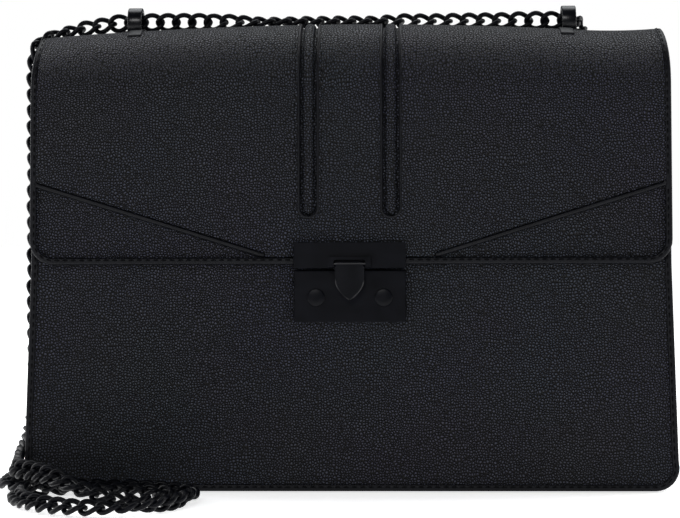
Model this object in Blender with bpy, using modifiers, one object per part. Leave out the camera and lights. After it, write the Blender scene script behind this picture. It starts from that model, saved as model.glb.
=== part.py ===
"""A structured evening shoulder bag with a front flap, a hasp lock and a chain strap.

Metres, +Z up. The front faces -Y. The origin is on the floor, under the middle of the bag.
Every panel lies on one section curve: up the leaning front, over the round top and down the back.
A place on a panel is x, s (the way along that curve) and offset (how far outside it).
"""

import math

import bmesh
import bpy
from mathutils import Matrix, Vector

# Body
BASE_WIDTH = 0.285
BASE_TAPER = 0.0054
TOP_TAPER = 0.0056
BASE_DEPTH = 0.082
TOP_RADIUS = 0.0263
TOP_CENTRE_HEIGHT = 0.1745
FLAP_EDGE_HEIGHT = 0.0985
SHOULDER_HEIGHT = 0.183
CREST_DROP = 0.0055
DROP_START_HEIGHT = 0.150
CORNER_RADIUS = 0.0105
MOUTH_HEIGHT = 0.172
BACK_PANEL_HEIGHT = 0.168
GAP = 0.0003
CUT_OVERRUN = 0.004
LINE_CLEARANCE = 0.0005
CREASE_SHARE = 0.95

# Layers of the body and of the flap
PANEL_THICKNESS = 0.0022
PANEL_RECESS = 0.0004
BINDING_WIDTH = 0.003
GUSSET_THICKNESS = 0.0022
LINING_THICKNESS = 0.0009
BASE_BOARD_THICKNESS = 0.0016
BASE_BOARD_INSET = 0.005
BACKING_THICKNESS = 0.0008
FLAP_CLEARANCE = 0.0004
FLAP_LINING_THICKNESS = 0.0008
FLAP_SHELL_THICKNESS = 0.0016
OVERLAY_THICKNESS = 0.0013
FLAP_BINDING_THICKNESS = 0.0011
TRIM_THICKNESS = 0.0015
ROOF_TAIL_HEIGHT = 0.150
ROOF_OVERLAY_TAIL_HEIGHT = 0.153

# Flap details
HINGE_SETBACK = 0.003
FOLD_GAP = 0.0007
COLUMN_WIDTH = 0.0235
TRIM_WIDTH = 0.002
TRIM_END_X = 0.0383
TRIM_RISE = 0.0315
SLOT_X = 0.018
SLOT_WIDTH = 0.007
SLOT_END_HEIGHT = 0.1195
SLOT_BACK_END_HEIGHT = 0.170
STRIP_WIDTH = 0.005
STRIP_THICKNESS = 0.0014
STRIP_BEVEL = 0.0006
STRIP_HINGE_CLEARANCE = 0.0015

# Lock
LOCK_WIDTH = 0.0487
UPPER_PLATE_OVERHANG = 0.0019
UPPER_PLATE_HEIGHT = 0.0113
UPPER_PLATE_THICKNESS = 0.0018
PLATE_SPACING = 0.0005
LOWER_PLATE_HEIGHT = 0.0226
LOWER_PLATE_THICKNESS = 0.0034
PLATE_BEVEL = 0.0004
FIXING_X = 0.017
FIXING_RISE = 0.008
FIXING_RADIUS = 0.001
UPPER_BACKING_HEIGHT = 0.0046
LOWER_BACKING_WIDTH = 0.042
LOWER_BACKING_HEIGHT = 0.0105
RIVET_INSET = 0.0063
RIVET_RISE = 0.0106
RIVET_RADIUS = 0.00385
RIVET_HEAD_HEIGHT = 0.0011
RIVET_HEAD_EDGE = 0.0003
RIVET_CROWN_SHARE = 0.6
RIVET_CROWN_RISE_SHARE = 0.96
RIVET_SHANK_RADIUS = 0.0012
STRIKE_RADIUS = 0.0032
STRIKE_DEPTH = 0.0012
TONGUE_WIDTH = 0.0127
TONGUE_TOP_RISE = 0.0011
TONGUE_SHOULDER_DROP = 0.0071
TONGUE_POINT_DROP = 0.016
TONGUE_THICKNESS = 0.0016
TONGUE_STAND_OFF = 0.0004
TONGUE_BEVEL = 0.0005
TONGUE_FULLNESS = 0.8
TONGUE_SIDE_STEPS = 8
PIVOT_RISE = 0.002
TRUNNION_RADIUS = 0.0006
BRACKET_WIDTH = 0.0185
BRACKET_BAR_RISE = 0.0016
BRACKET_BAR_HEIGHT = 0.0012
BRACKET_DEPTH = 0.0026
EAR_WIDTH = 0.0024
EAR_DROP = 0.0014
MAGNET_RADIUS = 0.0026
MAGNET_DROP = 0.01

# Chain loops
LOOP_INSET = 0.0385
LOOP_Y = 0.012
LOOP_WIDTH = 0.0064
LOOP_RISE = 0.0137
LOOP_INNER_RADIUS = 0.0056
LOOP_THICKNESS = 0.0016
LEG_REACH = 0.0005
TAB_WIDTH = 0.0104
TAB_THICKNESS = 0.001
TAB_FRONT_Y = 0.0037
TAB_BACK_Y = 0.0215
WASHER_THICKNESS = 0.0008
WASHER_WIDTH = 0.0098

# Inner pocket
POCKET_WIDTH = 0.150
POCKET_BOTTOM = 0.060
POCKET_TOP = 0.135
POCKET_THICKNESS = 0.0028
POCKET_WALL = 0.0008
POCKET_CORNER = 0.008

# Chain: one closed loop, as tubes of its outer width
CHAIN_DIAMETER = 0.008
CHAIN_HEIGHT = 0.2078
CHAIN_TOP_HALF = 0.0984
CHAIN_STEP = 0.014
PILE_CENTRE_X = -0.1055
PILE_CENTRE_Y = -0.071
PILE_HALF_LENGTH = 0.024
PILE_LENGTH_SPREAD = 0.010
PILE_FRONT_DEPTH = 0.013
PILE_FRONT_SPREAD = 0.0212
PILE_BACK_DEPTH = 0.0042
PILE_BACK_SPREAD = 0.0106
PILE_TILT_SHARE = 0.12
PILE_LAYER = 0.0087
PILE_START_SHARE = 0.08
PILE_TURNS_SHARE = 1.75
PILE_LOOP_POINTS = 24
PILE_FLOOR_HEIGHT = 0.0041
PILE_SINK_START_SHARE = 0.10
PILE_SINK_END_SHARE = 0.34

# The drop on the left: from the left loop over the corner, down the side and to the pile
LEFT_ROUTE = (
    (-0.0984, 0.0120, 0.2078),
    (-0.1060, 0.0120, 0.2076),
    (-0.1160, 0.0121, 0.2063),
    (-0.1260, 0.0124, 0.2046),
    (-0.1340, 0.0127, 0.2029),
    (-0.1403, 0.0130, 0.2011),
    (-0.1448, 0.0131, 0.1970),
    (-0.1463, 0.0131, 0.1890),
    (-0.1465, 0.0131, 0.1700),
    (-0.1465, 0.0130, 0.1400),
    (-0.1466, 0.0127, 0.1100),
    (-0.1469, 0.0120, 0.0800),
    (-0.1472, 0.0100, 0.0540),
    (-0.1476, 0.0030, 0.0330),
    (-0.1478, -0.0120, 0.0210),
    (-0.1476, -0.0280, 0.0160),
    (-0.1462, -0.0430, 0.0137),
    (-0.1428, -0.0570, 0.0128),
)
# The run that the bag hides: from the pile round the left end, behind the bag and up to the right loop
BACK_ROUTE = (
    (-0.1290, -0.0466, 0.0041),
    (-0.1400, -0.0466, 0.0041),
    (-0.1480, -0.0420, 0.0041),
    (-0.1500, -0.0340, 0.0041),
    (-0.1505, -0.0150, 0.0041),
    (-0.1505, 0.0100, 0.0041),
    (-0.1500, 0.0340, 0.0041),
    (-0.1440, 0.0500, 0.0041),
    (-0.1280, 0.0580, 0.0041),
    (-0.1000, 0.0570, 0.0041),
    (-0.0600, 0.0545, 0.0041),
    (-0.0150, 0.0560, 0.0041),
    (0.0300, 0.0580, 0.0041),
    (0.0700, 0.0570, 0.0041),
    (0.0920, 0.0540, 0.0052),
    (0.1030, 0.0515, 0.0120),
    (0.1070, 0.0495, 0.0260),
    (0.1080, 0.0480, 0.0500),
    (0.1085, 0.0455, 0.0900),
    (0.1085, 0.0430, 0.1300),
    (0.1082, 0.0405, 0.1600),
    (0.1078, 0.0375, 0.1790),
    (0.1078, 0.0320, 0.1895),
    (0.1080, 0.0260, 0.1965),
    (0.1076, 0.0200, 0.2018),
    (0.1056, 0.0150, 0.2055),
    (0.1024, 0.0122, 0.2076),
)

# The section curve
SHOULDER_WIDTH = BASE_WIDTH - BASE_TAPER
CREST_WIDTH = SHOULDER_WIDTH - TOP_TAPER
LOOP_X = CREST_WIDTH / 2 - LOOP_INSET
UPPER_PLATE_BOTTOM = FLAP_EDGE_HEIGHT - UPPER_PLATE_OVERHANG
LOWER_PLATE_BOTTOM = UPPER_PLATE_BOTTOM - PLATE_SPACING - LOWER_PLATE_HEIGHT
FIXING_HEIGHT = UPPER_PLATE_BOTTOM + FIXING_RISE
RIVET_HEIGHT = LOWER_PLATE_BOTTOM + RIVET_RISE
TONGUE_PIVOT_HEIGHT = UPPER_PLATE_BOTTOM + PIVOT_RISE
TONGUE_TOP = TONGUE_PIVOT_HEIGHT + TONGUE_TOP_RISE
TONGUE_SHOULDER = TONGUE_PIVOT_HEIGHT - TONGUE_SHOULDER_DROP
TONGUE_POINT = TONGUE_PIVOT_HEIGHT - TONGUE_POINT_DROP
MAGNET_HEIGHT = TONGUE_PIVOT_HEIGHT - MAGNET_DROP
BRACKET_BAR_BOTTOM = TONGUE_PIVOT_HEIGHT + BRACKET_BAR_RISE
EAR_BOTTOM = TONGUE_PIVOT_HEIGHT - EAR_DROP
RIVET_X = LOWER_BACKING_WIDTH / 2 - RIVET_INSET
HALF_DEPTH = BASE_DEPTH / 2
CORNER_TO_CENTRE = math.hypot(HALF_DEPTH, TOP_CENTRE_HEIGHT)
LEAN = math.atan2(HALF_DEPTH, TOP_CENTRE_HEIGHT) - math.asin(TOP_RADIUS / CORNER_TO_CENTRE)
WALL_LENGTH = math.sqrt(CORNER_TO_CENTRE**2 - TOP_RADIUS**2)
ARC_LENGTH = TOP_RADIUS * (math.pi - 2 * LEAN)
SECTION_LENGTH = 2 * WALL_LENGTH + ARC_LENGTH
CREST_HEIGHT = TOP_CENTRE_HEIGHT + TOP_RADIUS
LOOP_TOP = CREST_HEIGHT + LOOP_RISE

# Offsets of the layers from the section curve, outer faces unless named otherwise
PANEL_FACE = -PANEL_RECESS
PANEL_BACK = PANEL_FACE - PANEL_THICKNESS
FLAP_LINING_FACE = FLAP_CLEARANCE + FLAP_LINING_THICKNESS
FLAP_SHELL_BACK = FLAP_LINING_FACE + GAP
FLAP_SHELL_FACE = FLAP_SHELL_BACK + FLAP_SHELL_THICKNESS
OVERLAY_BACK = FLAP_SHELL_FACE + GAP
OVERLAY_FACE = OVERLAY_BACK + OVERLAY_THICKNESS
UPPER_PLATE_BACK = OVERLAY_FACE + GAP
UPPER_PLATE_FACE = UPPER_PLATE_BACK + UPPER_PLATE_THICKNESS
LOWER_PLATE_BACK = PANEL_FACE + GAP
LOWER_PLATE_FACE = LOWER_PLATE_BACK + LOWER_PLATE_THICKNESS
BACKING_FACE = PANEL_BACK - GAP
LINING_FACE = BACKING_FACE - BACKING_THICKNESS - GAP
TONGUE_BACK = UPPER_PLATE_FACE + TONGUE_STAND_OFF
TONGUE_FACE = TONGUE_BACK + TONGUE_THICKNESS
TONGUE_MIDDLE = (TONGUE_BACK + TONGUE_FACE) / 2 + GAP
WASHER_FACE = FLAP_CLEARANCE - GAP

HINGE_ANGLE = math.asin(HINGE_SETBACK / (TOP_RADIUS + OVERLAY_FACE))
CREST_S = SECTION_LENGTH / 2
HINGE_S = CREST_S + TOP_RADIUS * HINGE_ANGLE
FOLD_GAP_S = FOLD_GAP * TOP_RADIUS / (TOP_RADIUS + OVERLAY_FACE)
CHAIN_RADIUS = CHAIN_DIAMETER / 2
ARC_STEP = TOP_RADIUS * math.radians(10)
BLACK_LEATHER = (0.012, 0.013, 0.016)
BLACK_METAL = (0.008, 0.008, 0.009)
LINING_COLOUR = (0.02, 0.02, 0.022)
ROUND_POINTS = 16
CUT_TOLERANCE = 1e-7
MERGE_DISTANCE = 2e-6
AXIS_MERGE_DISTANCE = 1e-5
GAP_SAMPLES = 4


def s_at(height):
    """The way along the front wall at a height."""
    return height / math.cos(LEAN)


def back_s_at(height):
    """The way along the section at a height on the back wall."""
    return SECTION_LENGTH - s_at(height)


def section(s, offset):
    """The y and z of a point of the section curve, moved outwards by offset."""
    if s > SECTION_LENGTH / 2:
        y, z = section(SECTION_LENGTH - s, offset)
        return -y, z
    if s < WALL_LENGTH:
        y = -HALF_DEPTH + s * math.sin(LEAN) - offset * math.cos(LEAN)
        z = s * math.cos(LEAN) + offset * math.sin(LEAN)
        return y, z
    angle = LEAN + (s - WALL_LENGTH) / TOP_RADIUS
    radius = TOP_RADIUS + offset
    return -radius * math.cos(angle), TOP_CENTRE_HEIGHT + radius * math.sin(angle)


def half_width(s):
    """Half the bag's width at a place along the section."""
    height = section(s, 0)[1]
    if height < FLAP_EDGE_HEIGHT:
        share = height / FLAP_EDGE_HEIGHT
        return BASE_WIDTH / 2 + (SHOULDER_WIDTH - BASE_WIDTH) / 2 * share
    share = max(0, (height - SHOULDER_HEIGHT) / (CREST_HEIGHT - SHOULDER_HEIGHT))
    return SHOULDER_WIDTH / 2 - (SHOULDER_WIDTH - CREST_WIDTH) / 2 * share**2


def wrap(x, s, offset):
    """The place in the room of a point of a panel; the crest sinks a little to both ends."""
    y, z = section(s, offset)
    share = max(0, (z - DROP_START_HEIGHT) / (CREST_HEIGHT + OVERLAY_FACE - DROP_START_HEIGHT))
    across = (x / (CREST_WIDTH / 2)) ** 2
    return Vector((x, y, z - CREST_DROP * across * share**2 * (3 - 2 * share)))


def arc(x, y, radius, start, end, steps=6):
    """Points of an arc in the flat pattern, from one angle in degrees to another."""
    turn = [math.radians(start + (end - start) * i / steps) for i in range(steps + 1)]
    return [(x + radius * math.cos(a), y + radius * math.sin(a)) for a in turn]


def rectangle(x0, y0, x1, y1):
    return [(x0, y0), (x1, y0), (x1, y1), (x0, y1)]


def circle(x, y, radius):
    return arc(x, y, radius, 0, 360, ROUND_POINTS)[:-1]


def material(name, colour, roughness, metallic):
    found = bpy.data.materials.get(name)
    if found:
        return found
    made = bpy.data.materials.new(name)
    made.use_nodes = True
    shader = made.node_tree.nodes["Principled BSDF"]
    shader.inputs["Base Color"].default_value = (*colour, 1)
    shader.inputs["Roughness"].default_value = roughness
    shader.inputs["Metallic"].default_value = metallic
    return made


def leather():
    return material("black_grained_leather", BLACK_LEATHER, 0.5, 0)


def cloth():
    return material("dark_lining", LINING_COLOUR, 0.8, 0)


def metal():
    return material("matte_black_metal", BLACK_METAL, 0.38, 0.8)


def board():
    return material("stiff_board", LINING_COLOUR, 0.9, 0)


def add(name, data, look, collection):
    """An object in a collection, with its material."""
    thing = bpy.data.objects.new(name, data)
    collection.objects.link(thing)
    if look:
        data.materials.append(look)
    return thing


def flat_curve(name, loops, depth, collection):
    """A flat outline, with holes, as a filled 2D curve that is depth thick."""
    curve = bpy.data.curves.new(name, "CURVE")
    curve.dimensions = "2D"
    curve.fill_mode = "BOTH"
    curve.extrude = depth / 2
    for loop in loops:
        spline = curve.splines.new("POLY")
        spline.points.add(len(loop) - 1)
        for point, (x, y) in zip(spline.points, loop):
            point.co = (x, y, 0, 1)
        spline.use_cyclic_u = True
    thing = bpy.data.objects.new(name, curve)
    collection.objects.link(thing)
    return thing


def to_mesh(thing, look, collection):
    """The curve object as a welded mesh object in the same place."""
    bpy.context.view_layer.update()
    evaluated = thing.evaluated_get(bpy.context.evaluated_depsgraph_get())
    data = bpy.data.meshes.new_from_object(evaluated)
    name, place = thing.name, thing.matrix_world.copy()
    bpy.data.objects.remove(thing)
    work = bmesh.new()
    work.from_mesh(data)
    bmesh.ops.remove_doubles(work, verts=work.verts, dist=1e-6)
    bmesh.ops.recalc_face_normals(work, faces=work.faces)
    work.to_mesh(data)
    work.free()
    made = add(name, data, look, collection)
    made.name = name
    made.matrix_world = place
    return made


def section_lines(start, end):
    """Where a flat pattern is creased to lie round the top, between two places."""
    first = WALL_LENGTH
    count = math.ceil(ARC_LENGTH / ARC_STEP)
    lines = [first + ARC_LENGTH * i / count for i in range(count + 1)]
    lines += [s_at(h) for h in (DROP_START_HEIGHT, TOP_CENTRE_HEIGHT * CREASE_SHARE)]
    lines += [back_s_at(h) for h in (DROP_START_HEIGHT, TOP_CENTRE_HEIGHT * CREASE_SHARE)]
    return [s for s in lines if start + LINE_CLEARANCE < s < end - LINE_CLEARANCE]


def column_lines():
    """Where the sinking top is creased across, the same places in every layer."""
    count = math.floor(CREST_WIDTH / 2 / COLUMN_WIDTH)
    return [COLUMN_WIDTH * i for i in range(-count, count + 1)]


def sinks(s):
    return s_at(DROP_START_HEIGHT) < s < back_s_at(DROP_START_HEIGHT)


def sheet(name, loops, face, thickness, look, collection):
    """A panel: a flat pattern in x and s laid on the section, its outer face at the offset face."""
    flat = to_mesh(flat_curve(name, loops, 0, collection), look, collection)
    work = bmesh.new()
    work.from_mesh(flat.data)
    low = min(v.co.y for v in work.verts)
    high = max(v.co.y for v in work.verts)
    for s in section_lines(low, high):
        parts = work.verts[:] + work.edges[:] + work.faces[:]
        bmesh.ops.bisect_plane(
            work, geom=parts, dist=CUT_TOLERANCE, plane_co=(0, s, 0), plane_no=(0, 1, 0)
        )
    for x in column_lines():
        faces = [f for f in work.faces if sinks(f.calc_center_median().y)]
        corners = dict.fromkeys(v for f in faces for v in f.verts)
        sides = dict.fromkeys(e for f in faces for e in f.edges)
        parts = list(corners) + list(sides) + faces
        if parts:
            bmesh.ops.bisect_plane(
                work, geom=parts, dist=CUT_TOLERANCE, plane_co=(x, 0, 0), plane_no=(1, 0, 0)
            )
    bmesh.ops.remove_doubles(work, verts=work.verts, dist=MERGE_DISTANCE)
    if sum(f.normal.z for f in work.faces) < 0:
        bmesh.ops.reverse_faces(work, faces=work.faces)
    for vert in work.verts:
        vert.co = wrap(vert.co.x, vert.co.y, face)
    work.to_mesh(flat.data)
    work.free()
    shell = flat.modifiers.new("thickness", "SOLIDIFY")
    shell.thickness = thickness
    shell.offset = -1
    return flat


def face_matrix(height, offset, back=False):
    """The place on a wall at a height: X is across, Y up along the wall and Z out of the bag."""
    y, z = section(s_at(height), offset)
    tilt = Matrix.Rotation(math.pi / 2 - LEAN, 4, "X")
    place = Matrix.Translation((0, y, z)) @ tilt
    return Matrix.Rotation(math.pi, 4, "Z") @ place if back else place


def plate(name, loops, height, back, thickness, look, collection, behind=False, bevel=0):
    """A flat plate on a wall; its outline is measured from a point at that height."""
    flat = flat_curve(name, loops, thickness, collection)
    flat.matrix_world = face_matrix(height, back + thickness / 2, behind)
    made = to_mesh(flat, look, collection)
    if bevel:
        edge = made.modifiers.new("edge", "BEVEL")
        edge.width = bevel
        edge.segments = 1
        edge.limit_method = "ANGLE"
        edge.angle_limit = math.radians(40)
    return made


def cutter(thing, store):
    """Marks an object as a cutter."""
    for owner in list(thing.users_collection):
        owner.objects.unlink(thing)
    store.objects.link(thing)
    thing.hide_render = True
    thing.display_type = "WIRE"
    return thing


def combine(thing, tool, operation):
    step = thing.modifiers.new(operation.lower(), "BOOLEAN")
    step.object = tool
    step.operation = operation
    step.solver = "EXACT"


def box(name, low, high, look, collection):
    """A box between two corners."""
    work = bmesh.new()
    bmesh.ops.create_cube(work, size=1)
    size = [b - a for a, b in zip(low, high)]
    bmesh.ops.scale(work, vec=size, verts=work.verts)
    data = bpy.data.meshes.new(name)
    work.to_mesh(data)
    work.free()
    made = add(name, data, look, collection)
    made.location = [(a + b) / 2 for a, b in zip(low, high)]
    return made


def side_x(s, sign, inset=0):
    return sign * (half_width(s) - inset)


def body_outline(top, inset=0, bottom=0, radius=CORNER_RADIUS, shift=0):
    """The outline of the body from the front: straight sides, round bottom corners."""
    reach = max(radius - inset, GAP)
    floor = bottom + shift
    low = half_width(0) - inset
    right = arc(low - reach, floor + reach, reach, -90, -2)
    left = arc(-low + reach, floor + reach, reach, -178, -90)
    high = [(side_x(s, 1, inset), s) for s in (s_at(FLAP_EDGE_HEIGHT), top)]
    return right + high + [(-x, s) for x, s in reversed(high)] + left


def band_outline(top, width, bottom):
    """A band of one width that follows the body's sides and bottom, open at the top."""
    outer = body_outline(top, 0, bottom)
    inner = body_outline(top, width, bottom, CORNER_RADIUS, width)
    cut = outer.index((side_x(top, 1), top)) + 1
    outer = outer[cut:] + outer[:cut]
    inner = inner[cut:] + inner[:cut]
    return outer + inner[::-1]


def make_body_panels(bag):
    """Front and back panels with their turned edge bands."""
    floor = PANEL_THICKNESS * math.tan(LEAN) + GAP
    holes = [circle(side * RIVET_X, s_at(RIVET_HEIGHT), RIVET_SHANK_RADIUS + GAP) for side in (-1, 1)]
    for side, top in (("front", s_at(MOUTH_HEIGHT)), ("back", s_at(BACK_PANEL_HEIGHT))):
        inset = BINDING_WIDTH + GAP
        panel = body_outline(top, inset, floor, CORNER_RADIUS, inset)
        band = band_outline(top, BINDING_WIDTH, floor)
        loops = [panel] + (holes if side == "front" else [])
        if side == "back":
            loops = [[(x, SECTION_LENGTH - s) for x, s in loop] for loop in loops]
            band = [(x, SECTION_LENGTH - s) for x, s in band]
        sheet(f"{side}_panel", loops, PANEL_FACE, PANEL_THICKNESS, leather(), bag)
        sheet(f"{side}_edge_band", [band], 0, PANEL_THICKNESS + PANEL_RECESS, leather(), bag)


def wall_prism(name, inset, low, high, store):
    """The room between the walls, moved in by inset, as a long prism across the bag."""
    points = [(section(s_at(h), -inset)[0], h) for h in (low, high)]
    loop = points + [(-y, h) for y, h in reversed(points)]
    prism = flat_curve(name, [loop], BASE_WIDTH + CUT_OVERRUN, store)
    prism.matrix_world = Matrix(((0, 0, 1, 0), (1, 0, 0, 0), (0, 1, 0, 0), (0, 0, 0, 1)))
    return cutter(to_mesh(prism, None, store), store)


def upright(name, loop, look, collection):
    """An outline seen from the front, through the whole depth of the bag."""
    thing = flat_curve(name, [loop], BASE_DEPTH + CUT_OVERRUN, collection)
    thing.matrix_world = Matrix.Rotation(math.pi / 2, 4, "X")
    return to_mesh(thing, look, collection)


def make_gusset_and_lining(bag, store):
    """The strip round the sides and base, the lining inside it and the board under the lining."""
    inside = -PANEL_BACK + GAP
    band = band_outline(MOUTH_HEIGHT, GUSSET_THICKNESS, 0)
    gusset = upright("gusset_band", band, leather(), bag)
    room = wall_prism("gusset_room", inside, -CUT_OVERRUN, MOUTH_HEIGHT + CUT_OVERRUN, store)
    combine(gusset, room, "INTERSECT")

    board_low = GUSSET_THICKNESS + GAP
    lining_low = board_low + BASE_BOARD_THICKNESS + GAP
    outline = body_outline(MOUTH_HEIGHT - GAP, GUSSET_THICKNESS + GAP, lining_low)
    lining = upright("lining_bag", outline, cloth(), bag)
    room = wall_prism("lining_room", -LINING_FACE, 0, MOUTH_HEIGHT + CUT_OVERRUN, store)
    combine(lining, room, "INTERSECT")
    wall = GUSSET_THICKNESS + GAP + LINING_THICKNESS
    hollow_outline = body_outline(MOUTH_HEIGHT + CUT_OVERRUN, wall, lining_low + LINING_THICKNESS)
    hollow = cutter(upright("lining_hollow", hollow_outline, None, store), store)
    room = wall_prism(
        "hollow_room", -LINING_FACE + LINING_THICKNESS, 0, MOUTH_HEIGHT + 2 * CUT_OVERRUN, store
    )
    combine(hollow, room, "INTERSECT")
    combine(lining, hollow, "DIFFERENCE")

    board_half = half_width(0) - CORNER_RADIUS
    board_depth = BASE_DEPTH - 2 * BASE_BOARD_INSET
    low = (-board_half, -board_depth / 2, board_low)
    high = (board_half, board_depth / 2, board_low + BASE_BOARD_THICKNESS)
    box("base_board", low, high, board(), bag)


def make_inner_pocket(bag, store):
    """A slip pocket on the lining's back wall, open at the top."""
    height = s_at(POCKET_TOP) - s_at(POCKET_BOTTOM)
    half = POCKET_WIDTH / 2
    corner = POCKET_CORNER
    loop = arc(half - corner, corner, corner, -90, 0) + [(half, height), (-half, height)]
    loop += arc(-half + corner, corner, corner, 180, 270)
    back = LINING_FACE - LINING_THICKNESS - GAP - POCKET_THICKNESS
    pocket = plate("inner_pocket", [loop], POCKET_BOTTOM, back, POCKET_THICKNESS, cloth(), bag, True)
    slot = POCKET_THICKNESS - 2 * POCKET_WALL
    inner = rectangle(-half + corner, corner, half - corner, height + CUT_OVERRUN)
    opening = plate("pocket_opening", [inner], POCKET_BOTTOM, back + POCKET_WALL, slot, None, store, True)
    combine(pocket, cutter(opening, store), "DIFFERENCE")


def edge_points(start, end, sign, inset=0):
    """Points down or up a side edge, close together where the edge curves."""
    lines = [start] + section_lines(min(start, end), max(start, end)) + [end]
    lines = sorted(set(lines + [s for s in (s_at(SHOULDER_HEIGHT),) if start < s < end]))
    return [(side_x(s, sign, inset), s) for s in lines]


def flap_outline(inset, bottom, top):
    """The flap's outline from the fold down, with round lower corners."""
    radius = CORNER_RADIUS - inset
    low = bottom + inset
    side = half_width(bottom) - inset
    right = arc(side - radius, low + radius, radius, -90, 0)
    left = arc(-side + radius, low + radius, radius, 180, 270)
    up = edge_points(low + radius, top, 1, inset)[1:]
    return right + up + [(-x, s) for x, s in reversed(up)] + left


def slot_notch(x, top, width, end):
    """A slot from the fold down to its round end, from right to left."""
    radius = width / 2
    turn = arc(x, end + radius, radius, 0, -180)
    return [(x + radius, top)] + turn + [(x - radius, top)]


def trim_line(x):
    """How high the lower edge of the V trim is at a place across the flap."""
    slope = TRIM_RISE / (SHOULDER_WIDTH / 2 - TRIM_END_X)
    return s_at(FLAP_EDGE_HEIGHT) + BINDING_WIDTH + GAP + max(0, abs(x) - TRIM_END_X) * slope


def overlay_outline(top):
    """The overlay above the V, with its two slots."""
    inset = BINDING_WIDTH + GAP
    lift = (TRIM_WIDTH + GAP) / math.cos(math.atan(TRIM_RISE / (SHOULDER_WIDTH / 2 - TRIM_END_X)))
    low = trim_line(0)
    side = SHOULDER_WIDTH / 2 - inset
    turn_x = TRIM_END_X - lift / 2
    right = [(turn_x, low), (TRIM_END_X, low + lift), (side, trim_line(side) + lift)]
    up = edge_points(trim_line(side) + lift, top, 1, inset)[1:]
    slots = []
    for x in (SLOT_X, -SLOT_X):
        slots += slot_notch(x, top, SLOT_WIDTH, s_at(SLOT_END_HEIGHT))
    across = [(-x, s) for x, s in reversed(right + up)]
    return right + up + slots + across


def make_flap(bag):
    """The flap's shell, lining, overlay, edge band, V trims and padded strips."""
    bottom = s_at(FLAP_EDGE_HEIGHT)
    top = HINGE_S - FOLD_GAP_S
    outline = flap_outline(0, bottom, top)
    fixings = [(side * FIXING_X, s_at(FIXING_HEIGHT)) for side in (-1, 1)]
    holes = [circle(x, s, FIXING_RADIUS + GAP) for x, s in fixings]
    sheet(
        "flap_shell", [outline] + holes, FLAP_SHELL_FACE, FLAP_SHELL_THICKNESS, leather(), bag
    )

    middle = fixings[0][1]
    half = LOCK_WIDTH / 2 - BINDING_WIDTH + GAP
    tall = UPPER_BACKING_HEIGHT / 2 + GAP
    window = rectangle(-half, middle - tall, half, middle + tall)
    sheet(
        "flap_lining", [outline, window], FLAP_LINING_FACE, FLAP_LINING_THICKNESS, cloth(), bag
    )
    sheet("flap_overlay", [overlay_outline(top)] + holes, OVERLAY_FACE, OVERLAY_THICKNESS, leather(), bag)

    inner = flap_outline(BINDING_WIDTH, bottom, top)
    cut = outline.index((side_x(top, 1), top)) + 1
    outer = outline[cut:] + outline[:cut]
    inner = inner[cut:] + inner[:cut]
    face = OVERLAY_BACK + FLAP_BINDING_THICKNESS
    sheet("flap_edge_band", [outer + inner[::-1]], face, FLAP_BINDING_THICKNESS, leather(), bag)

    lift = TRIM_WIDTH / math.cos(math.atan(TRIM_RISE / (SHOULDER_WIDTH / 2 - TRIM_END_X)))
    side = SHOULDER_WIDTH / 2 - BINDING_WIDTH - GAP
    for name, sign in (("left", -1), ("right", 1)):
        start = TRIM_END_X
        loop = [(sign * start, trim_line(start)), (sign * side, trim_line(side))]
        loop += [(sign * side, trim_line(side) + lift), (sign * start, trim_line(start) + lift)]
        sheet(f"v_trim_{name}", [loop], OVERLAY_BACK + TRIM_THICKNESS, TRIM_THICKNESS, leather(), bag)
        strip_low = s_at(SLOT_END_HEIGHT) + (SLOT_WIDTH - STRIP_WIDTH) / 2
        strip = strip_outline(sign * SLOT_X, strip_low, top - STRIP_HINGE_CLEARANCE)
        make_strip(f"padded_strip_{name}", strip, bag)


def strip_outline(x, low, high):
    """A padded strip: a round end below and a square end at the fold."""
    radius = STRIP_WIDTH / 2
    return arc(x, low + radius, radius, 180, 360) + [(x + radius, high), (x - radius, high)]


def make_strip(name, loop, bag):
    strip = sheet(name, [loop], OVERLAY_BACK + STRIP_THICKNESS, STRIP_THICKNESS, leather(), bag)
    edge = strip.modifiers.new("soft_edge", "BEVEL")
    edge.width = STRIP_BEVEL
    edge.segments = 1
    edge.limit_method = "ANGLE"
    edge.angle_limit = math.radians(60)


def make_roof(bag, store):
    """The fixed part of the top behind the fold, down to the seam on the back wall."""
    start = HINGE_S
    tail = back_s_at(ROOF_TAIL_HEIGHT)
    edge = edge_points(start, tail, 1)
    outline = edge + [(-x, s) for x, s in reversed(edge)]
    cuts = leg_cutters(store)
    pieces = [
        sheet("roof_shell", [outline], FLAP_SHELL_FACE, FLAP_SHELL_THICKNESS, leather(), bag),
        sheet("roof_lining", [outline], FLAP_LINING_FACE, FLAP_LINING_THICKNESS, cloth(), bag),
    ]
    tail = back_s_at(ROOF_OVERLAY_TAIL_HEIGHT)
    edge = edge_points(start, tail, 1)
    outline = edge + [(-x, s) for x, s in reversed(edge)]
    slots = []
    low = back_s_at(SLOT_BACK_END_HEIGHT)
    for x in (-SLOT_X, SLOT_X):
        radius = SLOT_WIDTH / 2
        slots += [(x - radius, start)] + arc(x, low - radius, radius, 180, 0) + [(x + radius, start)]
    pieces.append(sheet("roof_overlay", [outline + slots], OVERLAY_FACE, OVERLAY_THICKNESS, leather(), bag))
    for name, sign in (("left", -1), ("right", 1)):
        high = low - (SLOT_WIDTH - STRIP_WIDTH) / 2
        radius = STRIP_WIDTH / 2
        x = sign * SLOT_X
        begin = start + STRIP_HINGE_CLEARANCE
        loop = [(x - radius, begin), (x + radius, begin)] + arc(x, high - radius, radius, 0, 180)
        make_strip(f"padded_strip_back_{name}", loop, bag)
    return pieces, cuts


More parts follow.
